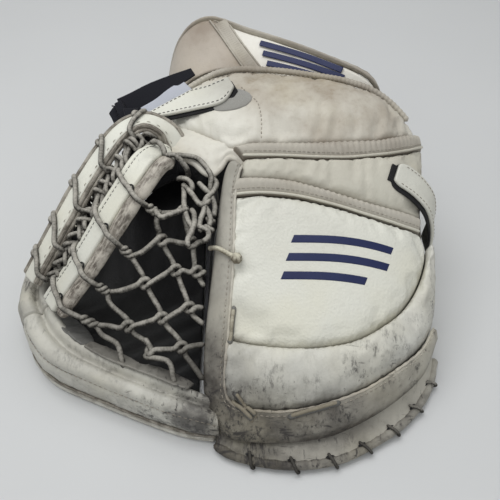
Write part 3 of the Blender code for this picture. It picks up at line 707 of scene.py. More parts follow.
WHITE = (0.765, 0.765, 0.685)
GREY = (0.30, 0.28, 0.245)
LOOKS = {
    "white": leather("white_leather", WHITE, GREY),
    "panel": leather("finger_panel_leather", WHITE, GREY, 0.40, 1.0, 560),
    "roller": leather("edge_roll_leather", (0.71, 0.705, 0.645), (0.27, 0.26, 0.23), 0.42, 0.6, 640),
    "flap": leather("flap_leather", (0.80, 0.79, 0.71), (0.285, 0.228, 0.165), 0.48, 0.45),
    "worn": leather("worn_leather", (0.66, 0.645, 0.555), (0.31, 0.27, 0.215), 0.52, 0.4),
    "cuff": leather("cuff_leather", (0.80, 0.78, 0.71), (0.48, 0.42, 0.36), 0.4, 0.25),
    "cuff_side": leather("cuff_side_leather", (0.54, 0.49, 0.42), (0.27, 0.22, 0.175), 0.5, 0.35),
    "rim": leather("rim_leather", (0.70, 0.69, 0.615), (0.27, 0.255, 0.225), 0.46, 0.4),
    "rim_strip": streaked("rim_strip_leather", (0.66, 0.65, 0.585), (0.30, 0.28, 0.24), 0.5, 0.5),
    "binding": leather("binding_leather", (0.52, 0.50, 0.435), (0.085, 0.075, 0.062), 0.55, 0.4),
    # crumpled lining; also the dark of the painted shade under the finger cover's laces and in the rim's seam
    # groove
    "lip": leather("crumpled_lining_and_groove_shade", (0.20, 0.20, 0.19), (0.07, 0.068, 0.062), 0.5, 0.5),
    "fold": leather("folded_lining", (0.33, 0.32, 0.285), (0.13, 0.12, 0.105), 0.5, 0.5),
    # near-black palm leather; on the web sheet the near-black is painted shade, and the lighter second colour
    # paints light let in through the net low at the left
    "palm": leather("palm_leather", (0.010, 0.010, 0.011), (0.060, 0.060, 0.058), 0.45, 0.5, 760, 0.18),
    "edge": streaked("bound_edge", (0.44, 0.41, 0.35), (0.12, 0.105, 0.085), 0.6, 1.0),
    "roll": streaked("worn_roll", (0.60, 0.56, 0.485), (0.14, 0.12, 0.10), 0.5, 0.95),
    "seam": leather("ribbed_seam_leather", (0.60, 0.575, 0.50), (0.30, 0.265, 0.22), 0.55, 0.3),
    # the lace's near-black second colour is mostly painted shade on its undersides
    "lace": braided("waxed_lace", (0.44, 0.42, 0.37), (0.030, 0.027, 0.023)),
    "tie": braided("tie_lace", (0.64, 0.61, 0.49), (0.20, 0.175, 0.13)),
    "thread": braided("sewing_thread", (0.60, 0.57, 0.49), (0.26, 0.23, 0.19), 0.8),
    "dark_thread": braided("dark_thread", (0.20, 0.19, 0.18), (0.05, 0.05, 0.05), 0.8),
    "webbing": woven("black_webbing", (0.005, 0.005, 0.008), (0.014, 0.015, 0.022), 0.9, 0.85, 0.05),
    # hook tape black; also the black of the painted shade under the gap chain and in the gusset's slits
    "hook": speckled("hook_tape_and_shade_black", (0.006, 0.006, 0.007), (0.016, 0.016, 0.018), 1400, 0.75, 0.0012),
    "loop": woven("grey_loop_tape", (0.27, 0.265, 0.24), (0.38, 0.37, 0.34), 0.5, 0.95, 0.5),
    "lining": woven("dark_lining", (0.012, 0.012, 0.014), (0.04, 0.04, 0.044), 1.4),
    "mesh": woven("strap_backing", (0.46, 0.485, 0.55), (0.60, 0.62, 0.68), 0.8, 0.9, 0.1),
    "foam": speckled("foam", (0.035, 0.035, 0.038), (0.055, 0.055, 0.06), 900, 0.95),
    "plastic": speckled("stiffener", (0.03, 0.03, 0.034), (0.045, 0.045, 0.05), 500, 0.45),
    "navy": speckled("navy_stripe", (0.010, 0.017, 0.075), (0.014, 0.022, 0.085), 1500, 0.5, 0.0002),
}


# ---------------------------------------------------------------- finger side

def finger_back():
    """The panel over the backs of the fingers, its raised roll, knuckle cover, seams and binding."""
    def panel_height(x, y, s, t):
        pucker = 1.3 * ripple(x, y, 26, 8, 0.1, 3) * bell(x, -14, 20)
        soft = 0.8 * ripple(x, y, 60, 60, 0, 8)
        return dome(x, y) + 3 * pillow(s, t) - 2.4 + pucker + soft

    panel = build("finger_back_cover",
                  [pad(PANEL_FOOT, PANEL_TOP, panel_height, lambda x, y, s, t: dome(x, y) - PAD, 5.0, 2.6)],
                  "panel", "finger_side", ["finger_back_panel"], settled=2.5)

    def roll_height(x, y, s, t):
        pucker = 0.8 * ripple(x, y, 30, 7, 0.2, 5) * bell(x, -14, 18)
        dents = 1.0 * ripple(x, y, 34, 22, 0.4, 12)
        return dome(x, y) + 7 * np.sin(math.pi * t) - 1.2 + pucker + dents

    roll = build("finger_edge_cover",
                 [pad(ROLL_FOOT, PANEL_FOOT, roll_height,
                      lambda x, y, s, t: np.maximum(10.5, dome(x, y) - PAD - 8 * t), 4.0, 2.4)],
                 "roller", "finger_side", ["finger_edge_roll"], 0.1, 0.16,
                 settled=2.0)

    for name, node_name, foot, top, slant in (
            ("panel_seam_band", "panel_seam_welt", PANEL_TOP, SEAM_LOWER_TOP, 7.0),
            ("knuckle_seam_band", "knuckle_seam_welt", SEAM_UPPER_FOOT, SEAM_UPPER_TOP, -7.0)):
        def band_height(x, y, s, t):
            ribs = np.sin(2 * math.pi * (s * 34 + t * slant / 7))
            depth = 0.35 + 0.65 * bell(s, 0.55, 0.28)
            return dome(x, y) - 1.2 + 3 * np.sin(math.pi * t) + 0.55 * ribs * depth

        build(name, [pad(foot, top, band_height, lambda x, y, s, t: dome(x, y) - 9, 1.5, 1.1)],
              "seam", "finger_side", [node_name], grime=0.25)

    def knuckle_height(x, y, s, t):
        folds = 1.3 * ripple(x, y, 15, 60, 0.05, 21) + 0.6 * ripple(x, y, 7, 40, -0.1, 4)
        return dome(x, y) - 3.4 + 3 * pillow(s, t) + folds * pillow(s, t, 3)

    build("knuckle_cover",
          [pad(SEAM_LOWER_TOP, SEAM_UPPER_FOOT, knuckle_height,
               lambda x, y, s, t: dome(x, y) - PAD - 3, 4.0, 2.6)],
          "worn", "finger_side", ["knuckle_strip"], settled=1.5)

    def binding_height(x, y, s, t):
        crumple = 0.8 * ripple(x, y, 9, 9, 0, 31) + 0.4 * ripple(x, y, 4, 5, 0, 32)
        curl = 3.5 * bell(s, 0, 0.025)
        low = 6 * (1 - t) ** 2
        return dome(x, y) - low - 0.6 + 1.6 * np.sin(math.pi * t) + crumple + curl

    strip = build("edge_binding_strip",
                  [pad(BINDING_OUTER, BINDING_INNER, binding_height,
                       lambda x, y, s, t: np.maximum(14, dome(x, y) - 12), 3.5, 1.8)],
                  "binding", "finger_side", ["edge_binding"], 0.12, 0.15)
    covered = top_of(panel, roll, strip)

    seams = []
    for points, lift in ((PANEL_TOP, 0.5), (SEAM_UPPER_FOOT, 0.3)):
        seams += stitches(over(dome, shifted(points, y=1.8), lift, 300), 2.6, 1.2, 0.38)
    build("seam_stitches", seams, "thread", "finger_side")
    for name, points, lift in (("panel_seam_piping", PANEL_TOP, -1.6),
                               ("knuckle_seam_piping", SEAM_UPPER_FOOT, -1.5)):
        build(name, [tube(over(dome, points, lift, 160), 1.15, 8)], "worn", "finger_side")
    bead = over(covered, between(BINDING_INNER, BINDING_OUTER, 0.1), 0.3, 300)
    bead[2:-2] = (bead[:-4] + bead[1:-3] + bead[2:-2] + bead[3:-1] + bead[4:]) / 5
    build("binding_bead", [tube(bead, 1.15 + 0.2 * np.sin(np.arange(300) * 0.9), 8)],
          "seam", "finger_side", grime=0.1)
    beside = over(covered, between(BINDING_INNER, BINDING_OUTER, 0.28), 0.15, 400)
    build("binding_stitches", stitches(beside, 2.6, 1.6, 0.38),
          "thread", "finger_side")
    return covered


def stripes(height):
    """Three long plain stripes across the finger panel."""
    for k, (left, right, y) in enumerate(((30, 108, -33), (26, 104, -45), (22, 86, -57))):
        foot = [(left, y - 3), ((left + right) / 2, y - 3.5), (right, y - 5)]
        top = [(left + 3, y + 3), ((left + right) / 2 + 3, y + 2.5), (right + 3, y + 1)]
        build(f"panel_stripe_{k + 1}",
              [pad(foot, top, lambda x, y, s, t: height(x, y) + 0.55, lambda x, y, s, t: height(x, y) - 0.6,
                   0.5, 1.6)],
              "navy", "finger_side")


def gusset():
    """The wall under the fingertips, down to its whip-laced lip on the ground."""
    def wall(x, y, s, t):
        reach = np.maximum(13.5, dome(x, y) - 12.5) - 9
        folds = 1.4 * ripple(x, y, 13, 30, 0.3, 17) * np.sin(math.pi * t)
        return 7.5 + reach * t ** 1.2 * np.minimum(1, (1 - s) * 9 + 0.3) + folds

    build("gusset_cover", [pad(GUSSET_FOOT, GUSSET_TOP, wall, lambda x, y, s, t: 0 * x, 3.0, 2.0)],
          "binding", "finger_side", ["finger_gusset"])
    lip = along(GUSSET_FOOT, 240)
    uneven = 0.9 * ripple(lip[:, 0], lip[:, 1], 7, 7, 0, 2) + 0.5 * ripple(lip[:, 0], lip[:, 1], 3, 3, 0, 6)
    centre = np.column_stack([lip, 5.2 + 0.6 * uneven]) + (0, 1.5, 0)
    build("gusset_lip", [tube(centre, 3.5 + 0.5 * uneven, 12)],
          "binding", "finger_side", grime=0.35, scuff=0.45)
    whips, slits = [], []
    for share, reach in ((0.13, 5), (0.27, 6), (0.40, 5), (0.52, 6), (0.64, 5), (0.76, 6), (0.88, 5)):
        here, ahead = along(GUSSET_FOOT, [share, share + 0.012])
        ahead = unit(ahead - here)
        inward = np.array((-ahead[1], ahead[0]))
        route = []
        for turn, run in ((145, -0.1), (118, 0.0), (85, 0.2), (50, 0.4), (15, 0.6), (-20, 0.8), (-60, 1.0)):
            a = math.radians(turn)
            out = 5.1 if turn < 130 else 6.5
            plan = here + (0, 1.5) + ahead * reach * run - inward * out * math.cos(a)
            route.append((*plan, 5.2 + out * math.sin(a)))
        whips.append(cord(route, 1.25, 0.8, 8))
        # painted shade: a black tube in each slit where the whip lace enters
        slit = [np.array(route[1]) + (*(ahead * d), -0.5) for d in (-3.4, -1.6, 0, 1.6, 3.4)]
        slits.append(tube(slit, 1.0, 8, 0.6))
    build("gusset_whip_lace", whips, "lace", "finger_side", grime=0.4)
    build("gusset_slit_shade", slits, "hook", "finger_side")


def panel_laces(height):
    """The long lace stitches that tie the finger cover down, and the tie at its edge."""
    found, slots = [], []
    lifts = np.array([-3.0, 1.0] + [1.9] * 10 + [1.0, -3.0])
    for a, b in (((-12, -74), (-15, -100)), ((-14.5, -130), (2, -143.5)), ((-11.5, -128), (4.5, -141)),
                 ((27, -142), (66, -132.5))):
        a, b = np.array(a, float), np.array(b, float)
        way = a + (b - a) * np.linspace(0, 1, len(lifts))[:, None]
        rise = height(way[:, 0], way[:, 1])
        found.append(cord(np.column_stack([way, rise + lifts]), 1.5, 0.8, 8))
        # painted shade: a dark tube under each long lace for the shade of its slot
        slots.append(cord(np.column_stack([way, rise + 0.4]), 2.1, 0.8, 8))
    build("panel_lace_slot_shade", slots, "lip", "finger_side")
    build("panel_lace_stitches", found, "tie", "finger_side", grime=0.2)
    centre = np.array((-10, -46, float(dome(-10, -46)) + 4))
    turns = []
    for k in range(3):
        tilt = k * math.pi / 3
        ring = []
        for n in range(20):
            a = 2 * math.pi * n / 20
            loop = (math.cos(a) * math.cos(tilt), math.cos(a) * math.sin(tilt) * 0.9, math.sin(a) * 0.95)
            ring.append(centre + 2.9 * np.array(loop))
        turns.append(tube(ring + ring[:1], 1.9, 8))
    tail = [centre, (-17, -42, dome(-17, -42) + 3.5), (-25, -37, dome(-25, -37) + 2.5),
            (-32, -33, dome(-32, -33) - 3)]
    turns.append(cord(tail, 1.9))
    build("tie_knot_turns", turns, "tie", "finger_side", ["tie_knot"])


# ---------------------------------------------------------------- hand side

def hand_back():
    """The padded flap over the back of the hand, its crest binding, stitches and loop patch."""
    arc = [(-8, 92), (0, 80), (6, 71), (9, 57), (9, 42)]
    arc_line = along(arc, 60)

    def flap_height(x, y, s, t):
        gathers = 1.0 * ripple(x, y, 11, 34, 0.1, 41) * bell(t, 0.04, 0.22)
        soft = 1.3 * ripple(x, y, 46, 40, 0.3, 40)
        slack = 1.4 * ripple(x, y, 14, 46, -0.5, 44) * bell(s, 0.0, 0.22)
        plan = np.stack([x, y], axis=-1)
        away = np.linalg.norm(plan[:, :, None] - arc_line, axis=-1).min(axis=-1)
        return dome(x, y) - 4.2 + 5 * pillow(s, t, 3) + gathers + soft + slack - 1.1 * bell(away, 0, 2.6)

    flap = build("back_flap_cover",
                 [pad(FLAP_FOOT, FLAP_CREST, flap_height, lambda x, y, s, t: dome(x, y) - PAD - 2, 4.5, 2.4)],
                 "flap", "back_flap", ["back_flap_pad"], settled=2.5)
    upper = top_of(flap)
    seam = over(upper, arc, 0.1, 60)
    build("flap_arc_stitches", stitches(seam, 2.2, 1.4, 0.4), "thread", "back_flap")
    crest = along(shifted(FLAP_CREST, y=2.6), np.linspace(0.015, 0.985, 300))
    height = dome(crest[:, 0], crest[:, 1]) - 3.4
    ribs = 2.7 + 0.22 * np.sin(np.arange(300) * 1.3)
    build("crest_binding", [tube(np.column_stack([crest, height]), ribs, 12)],
          "seam", "back_flap", ["back_flap_binding"], grime=0.15)
    inner = over(upper, along(shifted(FLAP_CREST, y=-3.4), np.linspace(0.03, 0.97, 120)), 0.1, 300)
    build("crest_stitches", stitches(inner, 2.8, 1.6, 0.42), "thread", "back_flap")
    rings, middle, reach = [], (-16, 76), (17.5, 12.5)
    turn = np.linspace(0, 2 * math.pi, 48, endpoint=False)
    for share, lift in ((1.0, -1.0), (1.0, 1.2), (0.96, 1.9), (0.75, 2.1), (0.5, 2.2), (0.25, 2.2),
                        (0.02, 2.2)):
        x = middle[0] + reach[0] * share * np.cos(turn)
        y = middle[1] + reach[1] * share * np.sin(turn)
        rings.append(np.stack([x, y, upper(x, y) + lift * 0.5], axis=-1))
    points = np.vstack(rings)
    build("loop_patch_tape", [(points, tube_faces(len(rings), len(turn)), np.zeros(len(points)))], "loop",
          "back_flap", ["loop_patch"])


def crotch():
    """Leather draped between the two halves at the root of the T, its edge curled under."""
    crest = [(-84, 78, 118), (-70, 74, 124), (-52, 69, 131), (-38, 62, 133), (-26, 54, 133.5), (-14, 46, 133),
             (-4, 40, 130), (4, 36, 124)]
    lip = [(-76, 52, 127), (-64, 41, 130.5), (-53, 32, 131.5), (-44, 27, 130), (-36, 20, 127), (-30, 18, 126),
           (-24, 24, 127), (-18, 31, 131), (-10, 29, 131.5), (-3, 24, 126)]
    cols, rows = 110, 34
    curl_from, curl_turn, curl_radius = 0.72, 3.3, 2.6
    s = np.linspace(0, 1, cols)
    top, low = along(crest, s), along(lip, s)
    outward = unit(np.cross(np.gradient(low, axis=0), (0, 0, 1.0)))
    grid = []
    for j in range(rows):
        t = j / (rows - 1)
        flat = min(1.0, t / curl_from)
        line = top + (low - top) * flat
        swell = 3.6 * math.sin(math.pi * flat ** 0.8)
        turn = max(0.0, t - curl_from) / (1 - curl_from) * curl_turn
        curl = outward * curl_radius * math.sin(turn) + (0, 0, -curl_radius * (1 - math.cos(turn)))
        folds = 2.4 * ripple(s * 88, 34 * flat + 10 * s, 40, 7.5, 0, 51) * (0.4 + 0.9 * s)
        folds = folds * math.sin(math.pi * (0.06 + 0.88 * flat))
        fine = 0.8 * ripple(s * 88, 34 * flat, 12, 5, 0.2, 52) * flat
        grid.append(line + curl + np.stack([0 * s, 0 * s, swell + folds + fine], axis=-1))
    outer = np.array(grid)
    normal = np.cross(np.gradient(outer, axis=1), np.gradient(outer, axis=0))
    inner = outer - unit(normal) * np.sign(normal[..., 2:].mean()) * 1.2
    points = np.vstack([outer.reshape(-1, 3), inner.reshape(-1, 3)])
    rim = np.repeat(0.05 + 0.5 * np.linspace(0, 1, rows) ** 3, cols)
    build("crotch_cover", [(points, grid_shell(rows, cols), np.concatenate([rim, rim]))], "flap",
          "finger_side", ["crotch_leather"])


CUFF_MIDDLE = np.array((20, 140, 80))
CUFF_LONG = 40                                 # from the hand to the open edge
CUFF_ROUND = 400                               # round it
CUFF_THICK = 8.0
CUFF_SIDES = 200


def cuff_layer(ring, axial, lift=0.0):
    """Points on the cuff's outer face, and the directions in towards the hand: ring is the share
    round it, axial runs from the hand to the open edge, lift is the height above the face."""
    first, last = along(CUFF_NEAR, ring, True), along(CUFF_FAR, ring, True)
    e = 0.004
    around = (along(CUFF_NEAR, (ring + e) % 1, True) - along(CUFF_NEAR, (ring - e) % 1, True)
              + along(CUFF_FAR, (ring + e) % 1, True) - along(CUFF_FAR, (ring - e) % 1, True))
    inward = unit(np.cross(around, last - first))
    place = first + (last - first) * np.reshape(axial, (-1, 1))
    towards = np.sum(inward * (CUFF_MIDDLE - place), axis=1, keepdims=True)
    inward = inward * np.sign(towards)
    return place - inward * lift, inward


def looped(rings):
    """A closed part from rings of points, each joined to the next and the last to the first."""
    points = np.array(rings)
    return points.reshape(-1, 3), tube_faces(*points.shape[:2], looped=True), np.zeros(points[..., 0].size)


def cuff_strip(points, width, thick, lift, count=80):
    """A strip on the cuff's outer face through (ring, axial) points."""
    way = along(points, count)
    place, inward = cuff_layer(way[:, 0], way[:, 1], lift)
    place[1:-1] = (place[:-2] + 2 * place[1:-1] + place[2:]) / 4
    return strap(place, width / 2, width / 2, thick, -inward, 0.6)


def cuff():
    """The gauntlet round the wrist: shell, side panel, ribbed stripe, piping, stripes and bound edge."""
    ring = np.linspace(0, 1, CUFF_SIDES, endpoint=False)
    columns = []
    edge = 5
    shares = shares_of(CUFF_LONG, edge, 1.6)
    for axial in shares:
        near = np.clip(1 - min(axial, 1 - axial) * CUFF_LONG / edge, 0, 1)
        sunk = 4 * (1 - math.sqrt(1 - near * near))
        place, inward = cuff_layer(ring, np.full(CUFF_SIDES, axial))
        crease = 0.9 * ripple(ring * CUFF_ROUND, axial * CUFF_LONG, 22, 18, 0.4, 61)
        columns.append(place + inward * (sunk + 0.6 - crease)[:, None])
    for axial in shares[::-1]:
        place, inward = cuff_layer(ring, np.full(CUFF_SIDES, axial))
        columns.append(place + inward * CUFF_THICK)
    build("cuff_cover", [looped(columns)], "cuff", "cuff", ["cuff_shell"], grime=-0.4)
    edge, inward = cuff_layer(ring, np.full(CUFF_SIDES, 1.0))
    out = unit(edge - cuff_layer(ring, np.full(CUFF_SIDES, 0.9))[0])
    turn = np.linspace(0, 2 * math.pi, 14, endpoint=False)
    ribs = 0.25 * np.sin(np.arange(CUFF_SIDES) * 1.9)
    rings = []
    for a in turn:
        reach = 3.0 + (2.6 + ribs) * math.sin(a)
        rings.append(edge + out * reach[:, None] + inward * (7 + 7.6 * math.cos(a)))
    build("cuff_edge_binding", [looped(rings)], "seam", "cuff", ["cuff_binding"],
          grime=0.45)
    # the side facet's darker leather, the ribbed stripe along its front and the piping beside it
    rows, cols = 50, 26
    axial = np.linspace(0.03, 0.97, cols)
    begin = 0.340 + 0.058 * axial
    crown = 1.3 * np.sqrt(np.clip(1 - np.abs(2 * axial - 1) ** 6, 0, 1))
    over_face, under_face = [], []
    for share in np.arange(rows) / (rows - 1):
        at = begin + (0.56 - begin) * share
        soft = 0.6 * ripple(at * 500, axial * CUFF_LONG, 16, 20, 0.3, 66)
        puff = crown * min(1, share * 8, (1 - share) * 8)
        over_face.append(cuff_layer(at, axial, (puff + soft * (puff > 0.6))[:, None])[0])
        under_face.append(cuff_layer(at, axial, -1.2)[0])
    points = np.vstack(over_face + under_face)
    build("cuff_side_panel", [(points, grid_shell(rows, cols), np.zeros(len(points)))], "cuff_side",
          "cuff", grime=0.1)
    stripe = [(0.392, 0.97), (0.362, 0.5), (0.335, 0.04)]
    build("cuff_ribbed_stripe", [cuff_strip(stripe, 12, 1.6, 0.9)], "seam", "cuff", grime=0.3)
    piping, ribs = [], []
    for shift in (-0.014, 0.016):
        way = along(shifted(stripe, x=shift), 70)
        piping.append(tube(cuff_layer(way[:, 0], way[:, 1], 1.5)[0], 1.0, 8))
    build("cuff_piping", piping, "thread", "cuff")
    for k in range(22):
        share = (k + 0.5) / 22
        middle = 0.392 + (0.335 - 0.392) * share
        way = along([(middle - 0.011, 0.95 - 0.9 * share), (middle + 0.012, 0.99 - 0.9 * share)], 8)
        ribs.append(tube(cuff_layer(way[:, 0], way[:, 1], 1.35)[0], 0.6, 6))
    build("cuff_stripe_ribs", ribs, "seam", "cuff", grime=0.3)
    bars = []
    for begin, end, axial, rise in ((0.330, 0.205, 0.78, 0.03), (0.325, 0.200, 0.54, 0.0),
                                    (0.318, 0.240, 0.30, -0.03)):
        bars.append(cuff_strip([(begin, axial), ((begin + end) / 2, axial + rise / 2), (end, axial + rise)],
                               5.6, 1.1, 0.75))
    build("cuff_stripes", bars, "navy", "cuff")


def strap(path, left, right, thick, up=(0, 0, 1), round_over=0.8):
    """A flat strap along a path, reaching left and right of it by amounts that may change."""
    n = len(path)
    left, right = np.broadcast_to(left, n), np.broadcast_to(right, n)
    e = min(thick * 0.45, round_over)
    half, bevel = thick / 2, thick / 2 - e * 0.3
    section = []
    for l, r in zip(left, right):
        near, far = -l + e * 0.3, r - e * 0.3
        across = np.linspace(-l + e, r - e, 9)
        section.append([(far, bevel), *[(a, half) for a in across[::-1]], (near, bevel), (-l, 0),
                        (near, -bevel), *[(a, -half) for a in across], (far, -bevel), (r, 0)])
    return sweep(path, section, up)


TAB_UP = (0, -0.2, 1)                          # the way the wrist tab faces


def tab_seams(line, ups, low, high, lift, kept):
    """Stitches along both edges of the kept stretch of a tab."""
    _, side, upper = axes(line, ups)
    rows = []
    for offset in (low - 2.2, 2.2 - high):
        rows += stitches((line + side * offset[:, None] + upper * lift)[kept], 2.6, 1.3, 0.3)
    return rows


def straps():
    """The wrist strap's webbing and tab and the finger strap's tab, with their hook tape."""
    count = 80
    s = np.linspace(0, 1, count)
    line = along([(-46, 122, 143), (-60, 113, 142), (-80, 103, 138), (-97, 95, 132), (-108, 91, 128)], s)
    build("wrist_webbing", [strap(line, 12 - 16 * (1 - s), 12 + 4 * s, 2.2, (0, -0.5, 1))], "webbing",
          "back_flap", ["wrist_strap"])
    fold = along([(-108, 91, 129), (-111, 89, 128.5), (-111, 88, 131), (-106, 90, 133)], 30)
    threads = []
    for k in range(22):
        stray = [noise.noise((k * 3.1, 7.7 * n, 2)) for n in range(4)]
        begin = np.array((-111, 89.5, 129.5)) + (1.2 * k - 12) * np.array((0.43, -0.9, 0))
        bent = begin + (-2.0 - 2 * stray[0], -0.8, 1.0 + 2 * stray[1])
        threads.append(tube(along([begin, bent, bent + (-1.8, 3 * stray[2], 2.5 * stray[3])], 8), 0.32, 5))
    build("webbing_fray", threads, "webbing", "back_flap")
    root = along([(-94, 86, 132), (-100, 84, 133), (-105.5, 82.2, 134)], 12)
    build("webbing_fold",
          [strap(fold, 11.5, 11.5, 2.0, (-0.4, -0.5, 1)), strap(root, 7, 7, 1.8, TAB_UP)],
          "webbing", "back_flap")
    line = along([(-88, 84, 133), (-76, 93, 135.5), (-66, 102, 139), (-54, 113, 142)], s)
    build("wrist_strap_backing", [strap(line, 8, 8, 1.4, (0, -0.4, 1))], "mesh", "back_flap")
    line = along([(-104, 82, 135), (-84, 84, 138.5), (-64, 83, 144), (-46, 81, 150), (-29, 81, 155),
                  (-14, 87, 160)], s)
    cut = np.clip((s - 0.84) / 0.16, 0, 1) ** 1.5
    point = np.clip((0.60 - s) / 0.60, 0, 1)
    low = 11.5 - 9 * cut
    high = np.maximum(11.5 - 2.5 * cut - 24 * point, 4 - low)
    build("wrist_tab_leather", [strap(line[9:], high[9:], low[9:], 3.2, TAB_UP, 1.0)], "white",
          "wrist_tab", ["wrist_strap_tab"])
    under = line + np.array((2.4, -0.4, -2.7))
    build("wrist_tab_hook", [strap(under, high - 1.0, low + 1.5, 2.2, TAB_UP)],
          "hook", "wrist_tab")
    build("wrist_tab_stitches", tab_seams(line, TAB_UP, low, high, 1.7, slice(16, -3)), "dark_thread",
          "wrist_tab")
    line = along([(109, 20, 127), (122, 18, 120), (135, 15, 110.5), (146, 11, 97), (151.3, 8, 77),
                  (151.8, 7, 54)], s)
    up = Vector((0.1, -0.6, 1))
    ups = np.array([up.lerp(Vector((1, 0, 0.1)), k / (count - 1)) for k in range(count)])
    upper = axes(line, ups)[2]
    tip = np.clip((0.17 - s) / 0.10, 0, 1)
    round_end = 4.5 * (1 - np.sqrt(np.clip(1 - tip ** 2, 0, 1)))
    low, high = 8.5 - round_end, 11 - round_end
    build("finger_tab_leather", [strap(line[6:], high[6:], low[6:], 3.0, ups[6:], 1.0)], "white",
          "finger_tab", ["finger_strap_tab"])
    under = line - upper * 2.4
    build("finger_tab_hook", [strap(under[2:], high[2:] + 0.6, low[2:] + 3.4, 2.0, ups[2:])],
          "hook", "finger_tab")
    build("finger_tab_stitches", tab_seams(line, ups, low, high, 1.6, slice(10, -4)), "thread",
          "finger_tab")


# ---------------------------------------------------------------- pocket

EYELETS = (0.045, 0.30, 0.51, 0.73, 0.92)      # shares of the inner band
NET_STARTS = ((0.32, 0.14), (0.58, 0.11), (0.81, 0.09), (1.0, 0.13))


def on_band(points, share, off, lift):
    """A point beside and above a band's middle line at a share of its length."""
    e = 0.01
    here, before, after = along(points, [share, max(share - e, 0), min(share + e, 1)])
    ahead = unit(after - before)
    side = unit(np.cross(ahead, (0, 0, 1.0)))
    upper = np.cross(side, ahead)
    beyond = (share - min(max(share, 0), 1)) * length_of(points)
    return here + side * off + upper * lift + ahead * beyond


def t_trap():
    """The T's two arched bands with bound edges, and the thick roll, pinched at its eyelets."""
    s = np.linspace(0, 1, 170)
    line = along(OUTER_BAND, s)
    _, side, upper = axes(line)
    puff = 0.5 * ripple(np.arange(170) * 0.09, 0, seed=7)
    build("outer_band_strip", [strap(line, 6.8, 6.8, 5.4, round_over=2.0)], "white", "t_trap",
          ["outer_band"])
    for name, off, radius in (("outer_band_outer_edge", 7.6, 2.2), ("outer_band_inner_edge", -7.8, 1.9),
                              ("outer_band_inner_fold", -10.2, 1.5)):
        edge = line + side * off + upper * (0.8 if abs(off) < 9 else -1.6)
        build(name, [tube(edge, radius + puff * 0.5, 12, 1.15, (0, 0, 1))], "edge", "t_trap",
              grime=0.15)
    rows = stitches(line - side * 4.6 + upper * 2.85, 3.2, 5.0, 0.26)
    build("outer_band_stitches", rows, "thread", "t_trap")
    s = np.linspace(0, 1, 150)
    line = along(INNER_BAND, s)
    _, side, upper = axes(line)
    strip = line + side * 3
    tip = np.clip((0.06 - s) / 0.06, 0, 1) ** 2
    build("inner_band_strip", [strap(strip, 7.6 - 3 * tip, 8.4 - 3 * tip, 6.0, round_over=2.0)],
          "white", "t_trap", ["inner_band"])
    flange = line + side * 11.6 - upper * 0.6
    build("inner_band_flange", [strap(flange, 3.4, 3.4, 4.6, round_over=1.6)], "white",
          "t_trap")
    build("inner_band_stitches", stitches(line + side * 9.0 + upper * 3.0, 3.0, 0.7, 0.24), "dark_thread",
          "t_trap")
    roll = line - side * 10.3 - upper * 1.8
    pinch = sum(bell(s, share + 0.012, 0.016) for share in EYELETS[1:])
    swell = 5.9 + 0.5 * ripple(np.arange(150) * 0.13, 3, seed=7) - 0.9 * pinch
    build("inner_band_roll_cover", [tube(roll[4:], swell[4:], 20, 0.95, (0, 0, 1))], "roll", "t_trap",
          ["inner_band_roll"])


def lace_ends():
    """Where the net's strands start, under the roll, from its top end down to its foot."""
    return [net_point(*start) for start in NET_STARTS]


def net_point(v, u, right=0.0, up=0.0, out=0.0):
    """A point on the net: v from its top down, u from the T to the finger side, with offsets."""
    def at(a, b):
        return along(NET_FROM, [a])[0] * (1 - b) + along(NET_TO, [a])[0] * b

    here = at(min(max(v, 0), 1), u)
    across = unit(at(min(max(v, 0), 1), u + 0.02) - at(min(max(v, 0), 1), u - 0.02))
    down = at(min(v + 0.02, 1), u) - at(max(min(v, 1) - 0.02, 0), u)
    down = unit(down - across * (down @ across))
    normal = np.cross(across, -down)
    beyond = v - min(max(v, 0), 1)
    return here + across * right - down * (up - beyond * 150) + normal * out


# How a lace rounds another: rightwards, up and out, the last in cord radii.
OVER = ((-4.2, -3.4, 1.05), (-3.0, 1.6, 1.0), (0.0, 4.0, 0.2), (3.0, 1.8, -0.9), (4.0, -3.0, -1.05))
UNDER = ((-4.0, 3.8, -1.05), (-2.8, -1.2, -0.9), (0.2, -3.6, 0.0), (3.0, -1.4, 0.9), (4.2, 2.6, 1.05))


def weave(stops):
    """A lace through stops of the net: (v, u) alone, or (v, u, hook) where it hooks another lace."""
    route = []
    for v, u, *hook in stops:
        for right, up, out in hook[0] if hook else ((0, 0, 0),):
            route.append(net_point(v, u, right, up, out * LACE * 1.05))
    return route


